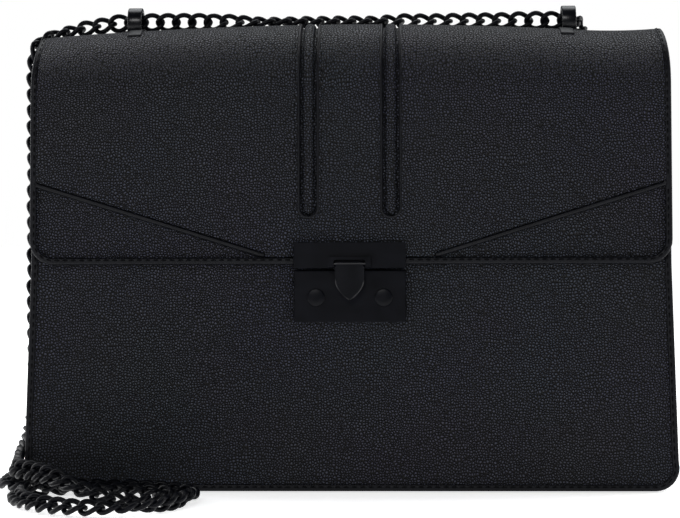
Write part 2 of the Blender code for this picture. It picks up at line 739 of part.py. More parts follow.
def leg_foot(y):
    """How low a loop's leg ends, a little under the washer."""
    under = WASHER_FACE - WASHER_THICKNESS
    return wrap(LOOP_X, roof_s_at(y, under), under).z - LEG_REACH


def leg_cutters(store):
    """Boxes a gap wider than the loops' legs, which pass through the roof."""
    cuts = []
    reach = LOOP_INNER_RADIUS + LOOP_THICKNESS
    for name, side in (("left", -1), ("right", 1)):
        for leg, y in (("front", LOOP_Y - reach), ("back", LOOP_Y + LOOP_INNER_RADIUS)):
            x = side * LOOP_X
            low = (x - LOOP_WIDTH / 2 - GAP, y - GAP, leg_foot(LOOP_Y + reach) - CUT_OVERRUN)
            high = (x + LOOP_WIDTH / 2 + GAP, y + LOOP_THICKNESS + GAP, LOOP_TOP)
            cuts.append((name, cutter(box(f"leg_cut_{name}_{leg}", low, high, None, store), store)))
    return cuts


def roof_s_at(y, offset):
    """The way along the section to the roof point at a depth y, for a layer at an offset."""
    return CREST_S + TOP_RADIUS * math.asin(y / (TOP_RADIUS + offset))


def make_loops(bag, pieces, cuts):
    """The two chain loops, the tab each stands on and the washer that holds its legs."""
    arch_height = LOOP_TOP - LOOP_INNER_RADIUS - LOOP_THICKNESS
    outer = LOOP_INNER_RADIUS + LOOP_THICKNESS
    front_foot = leg_foot(LOOP_Y - outer)
    back_foot = leg_foot(LOOP_Y + outer)
    for name, side in (("left", -1), ("right", 1)):
        x = side * LOOP_X
        loop = [(LOOP_Y - outer, front_foot), (LOOP_Y - LOOP_INNER_RADIUS, front_foot)]
        loop += arc(LOOP_Y, arch_height, LOOP_INNER_RADIUS, 180, 0, 10)
        loop += [(LOOP_Y + LOOP_INNER_RADIUS, back_foot), (LOOP_Y + outer, back_foot)]
        loop += arc(LOOP_Y, arch_height, outer, 0, 180, 10)
        arch = flat_curve(f"chain_loop_{name}", [loop], LOOP_WIDTH, bag)
        turn = Matrix(((0, 0, 1, x), (1, 0, 0, 0), (0, 1, 0, 0), (0, 0, 0, 1)))
        arch.matrix_world = turn
        to_mesh(arch, metal(), bag)

        face = OVERLAY_FACE + GAP + TAB_THICKNESS
        half = TAB_WIDTH / 2
        tab = rectangle(x - half, roof_s_at(TAB_FRONT_Y, face), x + half, roof_s_at(TAB_BACK_Y, face))
        tab = sheet(f"loop_tab_{name}", [tab], face, TAB_THICKNESS, metal(), bag)
        half = WASHER_WIDTH / 2
        front = roof_s_at(TAB_FRONT_Y, WASHER_FACE)
        back = roof_s_at(TAB_BACK_Y, WASHER_FACE)
        washer = rectangle(x - half, front, x + half, back)
        washer = sheet(f"loop_washer_{name}", [washer], WASHER_FACE, WASHER_THICKNESS, metal(), bag)
        for piece in [tab, washer] + pieces:
            for where, cut in cuts:
                if where == name:
                    combine(piece, cut, "DIFFERENCE")


def rivet(name, x, bag):
    """A flat-domed rivet, turned about its own axis."""
    bottom = BACKING_FACE - BACKING_THICKNESS - LOWER_PLATE_FACE - GAP
    head = RIVET_HEAD_HEIGHT
    profile = [
        (0, head),
        (RIVET_RADIUS * RIVET_CROWN_SHARE, head * RIVET_CROWN_RISE_SHARE),
        (RIVET_RADIUS - RIVET_HEAD_EDGE, head - RIVET_HEAD_EDGE),
        (RIVET_RADIUS, RIVET_HEAD_EDGE),
        (RIVET_RADIUS, 0),
        (RIVET_SHANK_RADIUS, 0),
        (RIVET_SHANK_RADIUS, bottom),
        (0, bottom),
    ]
    data = bpy.data.meshes.new(name)
    data.from_pydata([(r, 0, z) for r, z in profile], [(i, i + 1) for i in range(len(profile) - 1)], [])
    made = add(name, data, metal(), bag)
    turned = made.modifiers.new("turned", "SCREW")
    turned.steps = ROUND_POINTS
    turned.render_steps = ROUND_POINTS
    turned.use_merge_vertices = True
    turned.merge_threshold = AXIS_MERGE_DISTANCE
    made.matrix_world = face_matrix(RIVET_HEIGHT, LOWER_PLATE_FACE + GAP) @ Matrix.Translation((x, 0, 0))


def make_lower_lock(bag):
    """The lower plate with its strike, two rivets and the backing plate inside the panel."""
    half = LOCK_WIDTH / 2
    rivet_y = s_at(RIVET_HEIGHT) - s_at(LOWER_PLATE_BOTTOM)
    holes = [circle(side * RIVET_X, rivet_y, RIVET_SHANK_RADIUS + GAP) for side in (-1, 1)]
    outline = rectangle(-half, 0, half, LOWER_PLATE_HEIGHT)
    body = plate(
        "lower_lock_plate", [outline] + holes, LOWER_PLATE_BOTTOM, LOWER_PLATE_BACK,
        LOWER_PLATE_THICKNESS, metal(), bag, False, PLATE_BEVEL,
    )
    strike = circle(0, 0, STRIKE_RADIUS)
    plate(
        "strike_magnet", [strike], MAGNET_HEIGHT, LOWER_PLATE_FACE - STRIKE_DEPTH,
        STRIKE_DEPTH, metal(), bag,
    )
    half = LOWER_BACKING_WIDTH / 2
    tall = LOWER_BACKING_HEIGHT / 2
    outline = rectangle(-half, -tall, half, tall)
    holes = [circle(side * RIVET_X, 0, RIVET_SHANK_RADIUS + GAP) for side in (-1, 1)]
    plate(
        "lower_backing_plate", [outline] + holes, RIVET_HEIGHT, BACKING_FACE - BACKING_THICKNESS,
        BACKING_THICKNESS, metal(), bag,
    )
    for name, side in (("left", -1), ("right", 1)):
        rivet(f"rivet_{name}", side * RIVET_X, bag)
    return body


def cut_strike_seat(body, store):
    """The round seat in the lower plate for the strike magnet."""
    seat = plate(
        "strike_seat", [circle(0, 0, STRIKE_RADIUS + GAP)], MAGNET_HEIGHT,
        LOWER_PLATE_FACE - STRIKE_DEPTH - GAP, STRIKE_DEPTH + GAP + CUT_OVERRUN, None, store,
    )
    combine(body, cutter(seat, store), "DIFFERENCE")


def make_upper_lock(bag, store):
    """The upper plate with its two fixing pins, its backing plate and the bracket of the tongue."""
    half = LOCK_WIDTH / 2
    middle = UPPER_PLATE_BOTTOM + UPPER_PLATE_HEIGHT / 2
    tall = UPPER_PLATE_HEIGHT / 2
    upper = plate(
        "upper_lock_plate", [rectangle(-half, -tall, half, tall)], middle, UPPER_PLATE_BACK,
        UPPER_PLATE_THICKNESS, metal(), bag, False, PLATE_BEVEL,
    )
    length = UPPER_PLATE_BACK - FLAP_CLEARANCE + UPPER_PLATE_THICKNESS / 2
    for side in (-1, 1):
        pin = plate(
            f"fixing_pin_{side}", [circle(side * FIXING_X, 0, FIXING_RADIUS)], FIXING_HEIGHT,
            FLAP_CLEARANCE, length, None, store,
        )
        combine(upper, cutter(pin, store), "UNION")
    half = LOCK_WIDTH / 2 - BINDING_WIDTH
    tall = UPPER_BACKING_HEIGHT / 2
    holes = [circle(side * FIXING_X, 0, FIXING_RADIUS + GAP) for side in (-1, 1)]
    plate(
        "upper_backing_plate", [rectangle(-half, -tall, half, tall)] + holes, FIXING_HEIGHT,
        FLAP_CLEARANCE, BACKING_THICKNESS, metal(), bag,
    )

    low = s_at(EAR_BOTTOM) - s_at(TONGUE_PIVOT_HEIGHT)
    bar_low = s_at(BRACKET_BAR_BOTTOM) - s_at(TONGUE_PIVOT_HEIGHT)
    bar_high = bar_low + BRACKET_BAR_HEIGHT
    half = BRACKET_WIDTH / 2
    inner = half - EAR_WIDTH
    loop = [(-half, low), (-inner, low), (-inner, bar_low), (inner, bar_low), (inner, low)]
    loop += [(half, low), (half, bar_high), (-half, bar_high)]
    bracket = plate(
        "tongue_bracket", [loop], TONGUE_PIVOT_HEIGHT, UPPER_PLATE_FACE + GAP,
        BRACKET_DEPTH, metal(), bag,
    )
    bore = trunnion_rod("bracket_bore", TRUNNION_RADIUS + GAP, BRACKET_WIDTH + CUT_OVERRUN, store)
    combine(bracket, cutter(bore, store), "DIFFERENCE")


def trunnion_rod(name, radius, length, store):
    """A round rod on the tongue's axis."""
    work = bmesh.new()
    bmesh.ops.create_cone(
        work, cap_ends=True, segments=ROUND_POINTS, radius1=radius, radius2=radius, depth=length
    )
    data = bpy.data.meshes.new(name)
    work.to_mesh(data)
    work.free()
    made = add(name, data, None, store)
    made.matrix_world = Matrix.Translation(tongue_axis()) @ Matrix.Rotation(math.pi / 2, 4, "Y")
    return made


def tongue_axis():
    y, z = section(s_at(TONGUE_PIVOT_HEIGHT), TONGUE_MIDDLE)
    return Vector((0, y, z))


def make_tongue(bag, store):
    """The shield-shaped tongue with its trunnions, and the magnet on its back."""
    half = TONGUE_WIDTH / 2
    top = s_at(TONGUE_TOP) - s_at(TONGUE_PIVOT_HEIGHT)
    shoulder = s_at(TONGUE_SHOULDER) - s_at(TONGUE_PIVOT_HEIGHT)
    point = s_at(TONGUE_POINT) - s_at(TONGUE_PIVOT_HEIGHT)
    side = []
    for i in range(TONGUE_SIDE_STEPS):
        share = i / TONGUE_SIDE_STEPS
        width = half * math.cos(math.pi / 2 * share) ** TONGUE_FULLNESS
        side.append((width, shoulder + (point - shoulder) * share))
    side.append((0, point))
    loop = [(half, top)] + side + [(-x, y) for x, y in reversed(side[:-1])] + [(-half, top)]
    tongue = plate(
        "lock_tongue", [loop], TONGUE_PIVOT_HEIGHT, TONGUE_BACK, TONGUE_THICKNESS, metal(), bag,
        False, TONGUE_BEVEL,
    )
    rod = trunnion_rod("tongue_trunnion", TRUNNION_RADIUS, BRACKET_WIDTH - 2 * GAP, store)
    combine(tongue, cutter(rod, store), "UNION")
    back = LOWER_PLATE_FACE + GAP
    plate(
        "tongue_magnet", [circle(0, 0, MAGNET_RADIUS)], MAGNET_HEIGHT, back,
        TONGUE_BACK - GAP - back, metal(), bag,
    )


def smooth_route(route, step):
    """Points along a smooth curve through the route's points, about step apart."""
    points = [Vector(p) for p in route]
    padded = [2 * points[0] - points[1]] + points + [2 * points[-1] - points[-2]]
    made = []
    for a, b, c, d in zip(padded, padded[1:], padded[2:], padded[3:]):
        count = max(1, round((c - b).length / step))
        for i in range(count):
            t = i / count
            bend = (2 * a - 5 * b + 4 * c - d) * t**2 + (3 * b - a - 3 * c + d) * t**3
            made.append(0.5 * (2 * b + (c - a) * t + bend))
    return made + [points[-1]]


def pile_route():
    """The heap in front of the bag: an oval, deeper to the front, that widens on the floor."""
    made = []
    count = round(PILE_LOOP_POINTS * (PILE_TURNS_SHARE - PILE_START_SHARE))
    for i in range(count + 1):
        turn = PILE_START_SHARE + (PILE_TURNS_SHARE - PILE_START_SHARE) * i / count
        angle = math.pi + 2 * math.pi * turn
        sink = (turn - PILE_SINK_START_SHARE) / (PILE_SINK_END_SHARE - PILE_SINK_START_SHARE)
        sink = min(1, max(0, sink))
        sink = sink * sink * (3 - 2 * sink)
        across = (PILE_HALF_LENGTH + PILE_LENGTH_SPREAD * turn) * math.cos(angle)
        deep = PILE_BACK_DEPTH + PILE_BACK_SPREAD * turn
        if math.sin(angle) < 0:
            deep = PILE_FRONT_DEPTH + PILE_FRONT_SPREAD * turn
        y = PILE_CENTRE_Y + deep * math.sin(angle) - PILE_TILT_SHARE * across
        made.append(Vector((PILE_CENTRE_X + across, y, PILE_FLOOR_HEIGHT + PILE_LAYER * (1 - sink))))
    return made


def least_gap(points, apart):
    """The least room between turns of a tube, from its points, leaving out near neighbours."""
    fine = []
    for a, b in zip(points, points[1:]):
        fine += [a.lerp(b, i / GAP_SAMPLES) for i in range(GAP_SAMPLES)]
    skip = GAP_SAMPLES * apart
    gaps = [
        (p - q).length
        for i, p in enumerate(fine)
        for q in fine[i + skip:]
    ]
    return min(gaps) - CHAIN_DIAMETER


def trimmed(points, start, end):
    """A route without its first or last gap, so that two stretches don't touch."""
    made = list(points)
    if start:
        made[0] = made[0] + (made[1] - made[0]).normalized() * GAP
    if end:
        made[-1] = made[-1] + (made[-2] - made[-1]).normalized() * GAP
    return made


def tube(name, points, sides, bag):
    """A tube of the chain's outer width along points."""
    curve = bpy.data.curves.new(name, "CURVE")
    curve.dimensions = "3D"
    curve.bevel_depth = CHAIN_RADIUS
    curve.bevel_resolution = sides
    curve.use_fill_caps = True
    spline = curve.splines.new("POLY")
    spline.points.add(len(points) - 1)
    for knot, point in zip(spline.points, points):
        knot.co = (*point, 1)
    return add(name, curve, metal(), bag)


def make_chain(bag):
    """The strap's chain: over the top, down the left, the heap, and back behind the bag."""
    pile = pile_route()
    forward = (pile[1] - pile[0]).normalized() * CHAIN_DIAMETER
    aside = Vector((-CHAIN_DIAMETER, 0, 0))
    pile = [pile[0] - forward] + pile + [pile[-1] + aside]
    print("least gap between the turns of the heap, mm:", round(least_gap(pile, 6) * 1000, 2))
    top = [Vector((side * CHAIN_TOP_HALF, LOOP_Y, CHAIN_HEIGHT)) for side in (-1, 1)]
    left = smooth_route(LEFT_ROUTE + ((pile[0] - forward),), CHAIN_STEP) + [pile[0]]
    back = [pile[-1]] + smooth_route((pile[-1] + aside / 2,) + BACK_ROUTE, CHAIN_STEP) + [top[1]]
    tube("chain_top_run", trimmed(top, True, True), 2, bag)
    tube("chain_left_drop", trimmed(left, False, True), 2, bag)
    tube("chain_heap", pile, 1, bag)
    tube("chain_back_run", trimmed(back, True, False), 2, bag)


def smooth_shading(bag):
    for thing in bag.objects:
        if thing.type == "MESH":
            thing.data.shade_smooth()
            thing.data.set_sharp_from_angle(angle=math.radians(35))


def main():
    for thing in list(bpy.data.objects):
        bpy.data.objects.remove(thing)
    bag = bpy.data.collections.new("evening_shoulder_bag")
    store = bpy.data.collections.new("cutters")
    bpy.context.scene.collection.children.link(bag)
    bpy.context.scene.collection.children.link(store)
    make_body_panels(bag)
    make_gusset_and_lining(bag, store)
    make_inner_pocket(bag, store)
    make_flap(bag)
    pieces, cuts = make_roof(bag, store)
    make_loops(bag, pieces, cuts)
    cut_strike_seat(make_lower_lock(bag), store)
    make_upper_lock(bag, store)
    make_tongue(bag, store)
    make_chain(bag)
    smooth_shading(bag)


main()
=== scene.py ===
"""The looks of a structured black evening shoulder bag: grained leather, stitching, lock and chain.

Metres, +Z up. The front faces -Y. The CAD frame gives the places; many pieces ride on a CAD body.
A place on a leather panel is x, s (the way up the front, over the top and down the back) and an
offset outwards from the section curve, as in the bag's construction.
"""

import functools
import math
import random

import bmesh
import bpy
from mathutils import Matrix, Vector, noise


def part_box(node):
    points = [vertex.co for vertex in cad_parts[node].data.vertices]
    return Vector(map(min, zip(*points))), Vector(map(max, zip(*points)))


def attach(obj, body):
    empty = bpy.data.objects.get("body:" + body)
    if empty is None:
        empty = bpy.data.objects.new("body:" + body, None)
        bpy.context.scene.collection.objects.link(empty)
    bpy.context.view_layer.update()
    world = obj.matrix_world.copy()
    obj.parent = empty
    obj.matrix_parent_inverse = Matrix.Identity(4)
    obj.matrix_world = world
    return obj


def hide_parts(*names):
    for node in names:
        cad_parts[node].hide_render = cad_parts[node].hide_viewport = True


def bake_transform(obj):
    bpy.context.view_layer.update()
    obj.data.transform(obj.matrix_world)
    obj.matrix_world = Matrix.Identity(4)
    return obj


# Section of the bag, as built
BASE_WIDTH = 0.285
SHOULDER_WIDTH = 0.2796
CREST_WIDTH = 0.277
BASE_DEPTH = 0.082
TOP_RADIUS = 0.0263
TOP_CENTRE_HEIGHT = 0.1745
FLAP_EDGE_HEIGHT = 0.0985
SHOULDER_HEIGHT = 0.183
CREST_DROP = 0.0055
RIGHT_HOLD = 2.2
RIGHT_HOLD_FROM = 0.5
DROP_START_HEIGHT = 0.150
CORNER_RADIUS = 0.0105
MOUTH_HEIGHT = 0.172
BACK_PANEL_HEIGHT = 0.168
ROOF_TAIL_HEIGHT = 0.150
ROOF_OVERLAY_TAIL_HEIGHT = 0.153
GAP = 0.0003
BAND_WIDTH = 0.003
SLOT_X = 0.018
SLOT_WIDTH = 0.007
SLOT_END_HEIGHT = 0.1195
SLOT_BACK_END_HEIGHT = 0.170
STRIP_WIDTH = 0.005
TRIM_WIDTH = 0.002
TRIM_END_X = 0.0383
TRIM_RISE = 0.0315
PANEL_THICKNESS = 0.0022
GUSSET_THICKNESS = 0.0022
RIVET_HEIGHT = 0.0841
LOWER_PLATE_FACE = 0.0033

# Faces and backs of the leather layers, as offsets from the section curve
PANEL_FACE = -0.0004
BAND_FACE = 0.0002
BAND_BACK = -0.0026
FLAP_LINING_FACE = 0.0014
SHELL_FACE = 0.0031
EDGE_FACE = 0.0047
EDGE_BACK = 0.0006
OVERLAY_FACE = 0.0047
TRIM_FACE = 0.0053
BEAD_FACE = 0.0051
BEAD_BACK = 0.0034
STRIP_FACE = 0.0052
PAD_FACE = 0.0054
LINING_FACE = -0.0040
POCKET_FACE = -0.0072
POCKET_SEWN_FACE = -0.0077
WELT_FACE = -0.0071
WELT_BACK = -0.0084

# Thickness of the panels; the pocket's is measured towards the wall behind it
BODY_LEATHER = 0.002
FLAP_LINING_LEATHER = 0.001
FLAP_LEATHER = 0.0014
OVERLAY_LEATHER = 0.0015
PAD_LEATHER = 0.0009
POCKET_CLOTH = -0.0004

# How full each rounded strip is: 2 is half an oval, more is flatter on top
EDGE_FULLNESS = 7
BINDING_FULLNESS = 5
TRIM_FULLNESS = 3
BEAD_FULLNESS = 2.6
STRIP_FULLNESS = 2.2

# How the leather is made up; a rim stop is a share of the rim's width and how high it then is
PANEL_CELL = 0.005
PAD_CELL = 0.002
RIM_WIDTH = 0.0005
RIM_STOPS = ((0.3, 0.3), (0.7, 1.0))
RIM_FALL_SHARE = 0.8
WELD = 1e-6
CUT = 1e-7
EDGE_STEP = 0.0025
LINE_STEP = 0.01
CORNER_STEPS = 8
SLOT_END_STEPS = 10
EDGE_TUCK = 0.0008
PANEL_TUCK = 0.0003
BODY_FLOOR = 0.0004
PANEL_SWELL = 0.0003
PANEL_WAVE = 0.0003
BODY_WAVE_SCALE = 18
BODY_WAVE_LAYER = 3.1
FLAP_WAVE_SHARE = 0.8
FLAP_WAVE_SCALE = 15
FLAP_WAVE_LAYER = 9.7
FLAP_WAVE_FADE = 0.02
PAD_FRONT = 0.0120
PAD_PULL_SHARE = 0.977
PAD_BACK = 0.0015
BEAD_WIDTH = 0.0014
SLOT_CUT_SHARE = 1 / 3
STRIP_TUCK = 0.0002
STRIP_TUCK_SHARE = 0.03
STRIP_STEPS = 8
STRIP_END_STEPS = 6
TRIM_EXTRA = 0.0002
TRIM_LAP = 0.001
TRIM_STEPS = 30
GUSSET_STEPS = 16
GUSSET_HOLLOW = 0.0011
GUSSET_CREASE = 0.0005
GUSSET_CREASE_SHARE = 0.08
GUSSET_FADE_HEIGHT = 0.04

# Sewing; a stitch's stop is how far along it, how wide and how high it is there
STITCH_STOPS = ((-1, 0.45, -1.0), (-0.72, 0.85, -0.25), (0, 1, 0.1), (0.72, 0.85, -0.25), (1, 0.45, -1.0))
STITCH_SIDES = 6
STITCH_PITCH = 0.0036
STITCH_SHARE = 0.7
STITCH_WIDTH = 0.0008
STITCH_DIP_SHARE = 0.3
STITCH_ROUND_SHARE = 0.42
STITCH_SINK = 0.0003
STITCH_INSET = 0.0011
STITCH_TOP_GAP = 0.004
BEAD_STITCH_INSET = 0.0009
TRIM_STITCH_INSET = 0.0006

# The lining, its wavy walls and the slip pocket
LINING_WALL = 0.0008
LINING_LEVELS = 24
LINING_ROUND_HEIGHT = 0.012
LINING_ROUND_X = 0.004
LINING_ROUND_Y = 0.003
LINING_CORNER = 0.006
LINING_CORNER_STEPS = 4
LINING_LONG_STEPS = 20
LINING_SHORT_STEPS = 6
LINING_WAVE = 0.0003
LINING_WAVE_SCALE_X = 30
LINING_WAVE_SCALE_Z = 22
LINING_WAVE_LAYER = 5.0
LINING_WAVE_FROM = 0.004
POCKET_CLEARANCE = 0.0002
POCKET_CORNER = 0.008
POCKET_SEWN_SHARE = 0.985
POCKET_SEWN_RISE = 0.0012
WELT_WIDTH = 0.008

# Metal details; a rivet's stop is a share of its radius and of its rise
LOOP_THICKNESS = 0.0016
LOOP_EDGE = 0.0004
LOOP_EDGE_STEPS = 3
LOOP_LEG_SHARE = 0.4
LOOP_STEPS = 24
RIVET_SHANK = 0.0012
RIVET_SHANK_LENGTH = 0.0065
RIVET_RISE = 0.0011
RIVET_RIM_SHARE = 0.35
RIVET_ROUND = 0.0003
RIVET_ROUND_RISE = 0.0004
RIVET_ROUND_STEPS = 4
RIVET_STOPS = ((0.75, 0.86), (0.45, 0.96), (0.15, 1.0))
RIVET_STEPS = 40
RIVET_SHARP_ANGLE = math.radians(50)
NODE_EDGE = 0.00012
NODE_EDGE_SEGMENTS = 2
NODE_EDGE_ANGLE = math.radians(30)

# The chain's links
LINK_PITCH = 0.0073
LINK_WIRE = 0.0022
LINK_WIDTH = 0.0092
LINK_POINTS = 28
LINK_SIDES = 8
LINK_TWIST = math.radians(-45)
LINK_SPIN = 5
LINK_SPIN_SEED = 7
LINK_SEARCH = 110
LINK_FINENESS = 4

# Which way the links lie wide at places along the chain: up, edge on, or slanted
LINK_LEANINGS = (
    ((-0.0984, 0.012, 0.2078), (0, 0, 1)),
    ((-0.1120, 0.012, 0.2068), (0, 0.6, 0.8)),
    ((-0.1340, 0.0127, 0.2029), (0, 0.95, 0.3)),
    ((-0.1463, 0.0131, 0.1890), (0.15, 0.98, 0)),
    ((-0.1472, 0.0100, 0.0540), (0.2, 0.98, 0)),
    ((-0.1476, -0.0280, 0.0160), (0.2, 0, 0.98)),
    ((-0.1324, -0.0694, 0.0131), (0.5, 0.3, 0.8)),
    ((-0.1060, -0.0892, 0.0070), (0, 0.93, 0.37)),
    ((-0.0765, -0.0748, 0.0041), (0.9, 0, 0.3)),
    ((-0.1051, -0.0589, 0.0041), (0, 1, 0.1)),
    ((-0.1395, -0.0668, 0.0041), (0.8, 0, 0.6)),
    ((-0.1358, -0.0851, 0.0041), (0.8, 0.3, 0.5)),
    ((-0.1057, -0.1105, 0.0041), (0, 0.93, 0.37)),
    ((-0.0725, -0.0966, 0.0041), (0.6, 0.75, 0.2)),
    ((-0.0665, -0.0758, 0.0041), (0.9, 0, 0.3)),
    ((-0.1055, -0.0482, 0.0041), (0, 1, 0.1)),
    ((-0.1505, -0.0150, 0.0041), (1, 0, 0.3)),
    ((-0.0150, 0.0560, 0.0041), (0, 1, 0.3)),
    ((0.1085, 0.0455, 0.0900), (1, 0, 0)),
    ((0.1078, 0.0320, 0.1895), (0.9, 0.3, 0.3)),
    ((0.1072, 0.0200, 0.2018), (0.1, 0.5, 0.85)),
    ((0.1040, 0.0140, 0.2065), (0, 0.2, 1)),
    ((0.0870, 0.012, 0.2078), (0, 0.1, 1)),
    ((0.0700, 0.012, 0.2078), (0, 0.5, 0.87)),
    ((0.0280, 0.012, 0.2078), (0, 0.72, 0.7)),
    ((0.0140, 0.012, 0.2078), (0, 1, 0.3)),
    ((-0.0420, 0.012, 0.2078), (0, 1, 0.3)),
    ((-0.0560, 0.012, 0.2078), (0, 0.5, 0.85)),
    ((-0.0790, 0.012, 0.2078), (0, 0, 1)),
)

# The chain's route, as in the construction, and where it is drawn in towards the bag
CHAIN_DIAMETER = 0.008
CHAIN_TOP_HALF = 0.0984
CHAIN_TOP_Y = 0.012
CHAIN_TOP_HEIGHT = 0.2078
CHAIN_STEP = 0.014
TOP_STEPS = 14
RIGHT_PULL_SHARE = 0.22
RIGHT_PULL_FROM = 0.15
LEFT_PULL = 0.0018
LEFT_PULL_FROM = 0.07
LEFT_PULL_FRONT = -0.07
PULL_FADE = 0.03
PILE_CENTRE_X = -0.1055
PILE_CENTRE_Y = -0.071
PILE_HALF_LENGTH = 0.024
PILE_LENGTH_SPREAD = 0.010
PILE_FRONT_DEPTH = 0.013
PILE_FRONT_SPREAD = 0.0212
PILE_BACK_DEPTH = 0.0042
PILE_BACK_SPREAD = 0.0106
PILE_TILT_SHARE = 0.12
PILE_LAYER = 0.0087
PILE_START_SHARE = 0.08
PILE_TURNS_SHARE = 1.75
PILE_LOOP_POINTS = 24
PILE_FLOOR_HEIGHT = 0.0041
PILE_SINK_START_SHARE = 0.10
PILE_SINK_END_SHARE = 0.34

LEFT_ROUTE = (
    (-0.0984, 0.0120, 0.2078),
    (-0.1060, 0.0120, 0.2076),
    (-0.1160, 0.0121, 0.2063),
    (-0.1260, 0.0124, 0.2046),
    (-0.1340, 0.0127, 0.2029),
    (-0.1403, 0.0130, 0.2011),
    (-0.1448, 0.0131, 0.1970),
    (-0.1463, 0.0131, 0.1890),
    (-0.1465, 0.0131, 0.1700),
    (-0.1465, 0.0130, 0.1400),
    (-0.1466, 0.0127, 0.1100),
    (-0.1469, 0.0120, 0.0800),
    (-0.1472, 0.0100, 0.0540),
    (-0.1476, 0.0030, 0.0330),
    (-0.1478, -0.0120, 0.0210),
    (-0.1476, -0.0280, 0.0160),
    (-0.1462, -0.0430, 0.0137),
    (-0.1428, -0.0570, 0.0128),
)
BACK_ROUTE = (
    (-0.1290, -0.0466, 0.0041),
    (-0.1400, -0.0466, 0.0041),
    (-0.1480, -0.0420, 0.0041),
    (-0.1500, -0.0340, 0.0041),
    (-0.1505, -0.0150, 0.0041),
    (-0.1505, 0.0100, 0.0041),
    (-0.1500, 0.0340, 0.0041),
    (-0.1440, 0.0500, 0.0041),
    (-0.1280, 0.0580, 0.0041),
    (-0.1000, 0.0570, 0.0041),
    (-0.0600, 0.0545, 0.0041),
    (-0.0150, 0.0560, 0.0041),
    (0.0300, 0.0580, 0.0041),
    (0.0700, 0.0570, 0.0041),
    (0.0920, 0.0540, 0.0052),
    (0.1030, 0.0515, 0.0120),
    (0.1070, 0.0495, 0.0260),
    (0.1080, 0.0480, 0.0500),
    (0.1085, 0.0455, 0.0900),
    (0.1085, 0.0430, 0.1300),
    (0.1082, 0.0405, 0.1600),
    (0.1078, 0.0375, 0.1790),
    (0.1078, 0.0320, 0.1895),
    (0.1080, 0.0260, 0.1965),
    (0.1076, 0.0200, 0.2018),
    (0.1056, 0.0150, 0.2055),
    (0.1024, 0.0122, 0.2076),
)

# Leather: a grain stop is a distance in the cell and its height, a gloss is two roughnesses
GRAIN_SCALE = 840.0
GRAIN_DEPTH = 0.00042
GRAIN_RANDOMNESS = 0.88
GRAIN_EDGE_STOPS = ((0.0, 0.0), (0.12, 0.5), (0.3, 1.0))
GRAIN_DOME_STOPS = ((0.0, 1.0), (0.33, 0.85), (0.75, 0.22))
GRAIN_DRIFT_SCALE = 60.0
GRAIN_DRIFT = 0.004
GRAIN_SLOPE_STOP = 0.6
SKIN_SCALE = GRAIN_SCALE * 6
SKIN_DEPTH = GRAIN_DEPTH * 0.1
# Leather colour by grain height: painted shade in the furrows, and tops lighter from wear and a painted
# highlight
LEATHER_FURROW_SHADE = (0.0002, 0.0002, 0.0004)
LEATHER_SLOPE = (0.0014, 0.0016, 0.0026)
LEATHER_TOP_WEAR_AND_HIGHLIGHT = (0.0425, 0.0470, 0.0700)
LEATHER_SHINE = 0.22
LEATHER_GLOSS = (0.75, 0.33)
LEATHER_PATCH_SCALE = 14.0
LEATHER_PATCH_SHARE = 0.35
SMOOTH_DARK = (0.0020, 0.0022, 0.0034)
SMOOTH_LIGHT = (0.0042, 0.0046, 0.0066)
SMOOTH_SHINE = 0.15
SMOOTH_GLOSS = (0.36, 0.52)
SMOOTH_PATCH_SCALE = 60.0
PORE_SCALE = 2600.0
PORE_DEPTH = 0.00005
CREASE_SCALE = 420.0
CREASE_DEPTH = 0.00025

# Metal, thread, cloth and board
METAL_DARK = (0.0007, 0.0009, 0.0019)
METAL_LIGHT = (0.0019, 0.0022, 0.0044)
METAL_SHINE = 0.11
METAL_GLOSS = (0.28, 0.45)
POLISHED_SHINE = 0.3
POLISHED_GLOSS = (0.2, 0.3)
PEEL_SCALE = 1500.0
PEEL_DEPTH = 0.00004
SMEAR_SCALE = 130.0
THREAD_DARK = (0.0004, 0.0005, 0.0008)
THREAD_LIGHT = (0.0014, 0.0015, 0.0024)
THREAD_SHINE = 0.06
THREAD_SCALE = 1400.0
THREAD_DEPTH = 0.00008
CLOTH_DARK = (0.008, 0.008, 0.009)
CLOTH_LIGHT = (0.030, 0.030, 0.033)
CLOTH_SHEEN = 0.3
CLOTH_PATCH_SCALE = 40.0
CLOTH_PATCH_SHARE = 0.3
WARP_SCALE = 620.0
WEFT_SCALE = 540.0
WEAVE_DEPTH = 0.00015
FIBRE_SCALE = 900.0
FIBRE_DEPTH = 0.0001
PLAIN_SHINE = 0.5

# The stage
FLOOR_HALF = 4.0
FLOOR_DARK = (0.965, 0.965, 0.97)
FLOOR_LIGHT = (0.99, 0.99, 0.99)
FLOOR_SCALE = 30.0
FLOOR_GLOW = 0.68
WHITE = (1, 1, 1, 1)
SKY_COLOUR = (0.85, 0.91, 1.0, 1)
SKY_STRENGTH = 0.08
SUN_STRENGTH = 1.42
SUN_COLOUR = (0.95, 0.975, 1.0)
SUN_SPREAD = math.radians(46)
SUN_LEAN = math.radians(-28)

# Soft boxes of light: name, place, what it faces, width and height, power
LAMPS = (
    ("front_top_box", (-0.25, -1.5, 0.95), (0, 0, 0.1), (0.6, 0.3), 6.5),
    ("low_left_box", (-1.3, -1.1, 0.15), (0, 0, 0.08), (0.5, 0.3), 2.5),
    ("low_right_box", (1.3, -1.1, 0.15), (0, 0, 0.08), (0.5, 0.3), 2.5),
    ("left_edge_box", (-1.2, 0.35, 0.5), (0, 0, 0.1), (0.5, 1.4), 16.0),
    ("right_edge_box", (1.2, 0.35, 0.5), (0, 0, 0.1), (0.5, 1.4), 16.0),
)

# Camera, worked out from edges of the bag in the photograph
CAMERA_PLACE = (0.0217, -0.9256, 0.1297)
CAMERA_YAW = math.radians(1.67)
CAMERA_PITCH = math.radians(-1.84)
CAMERA_ROLL = math.radians(-0.21)
CAMERA_LENS = 108.5
CAMERA_SENSOR = 36

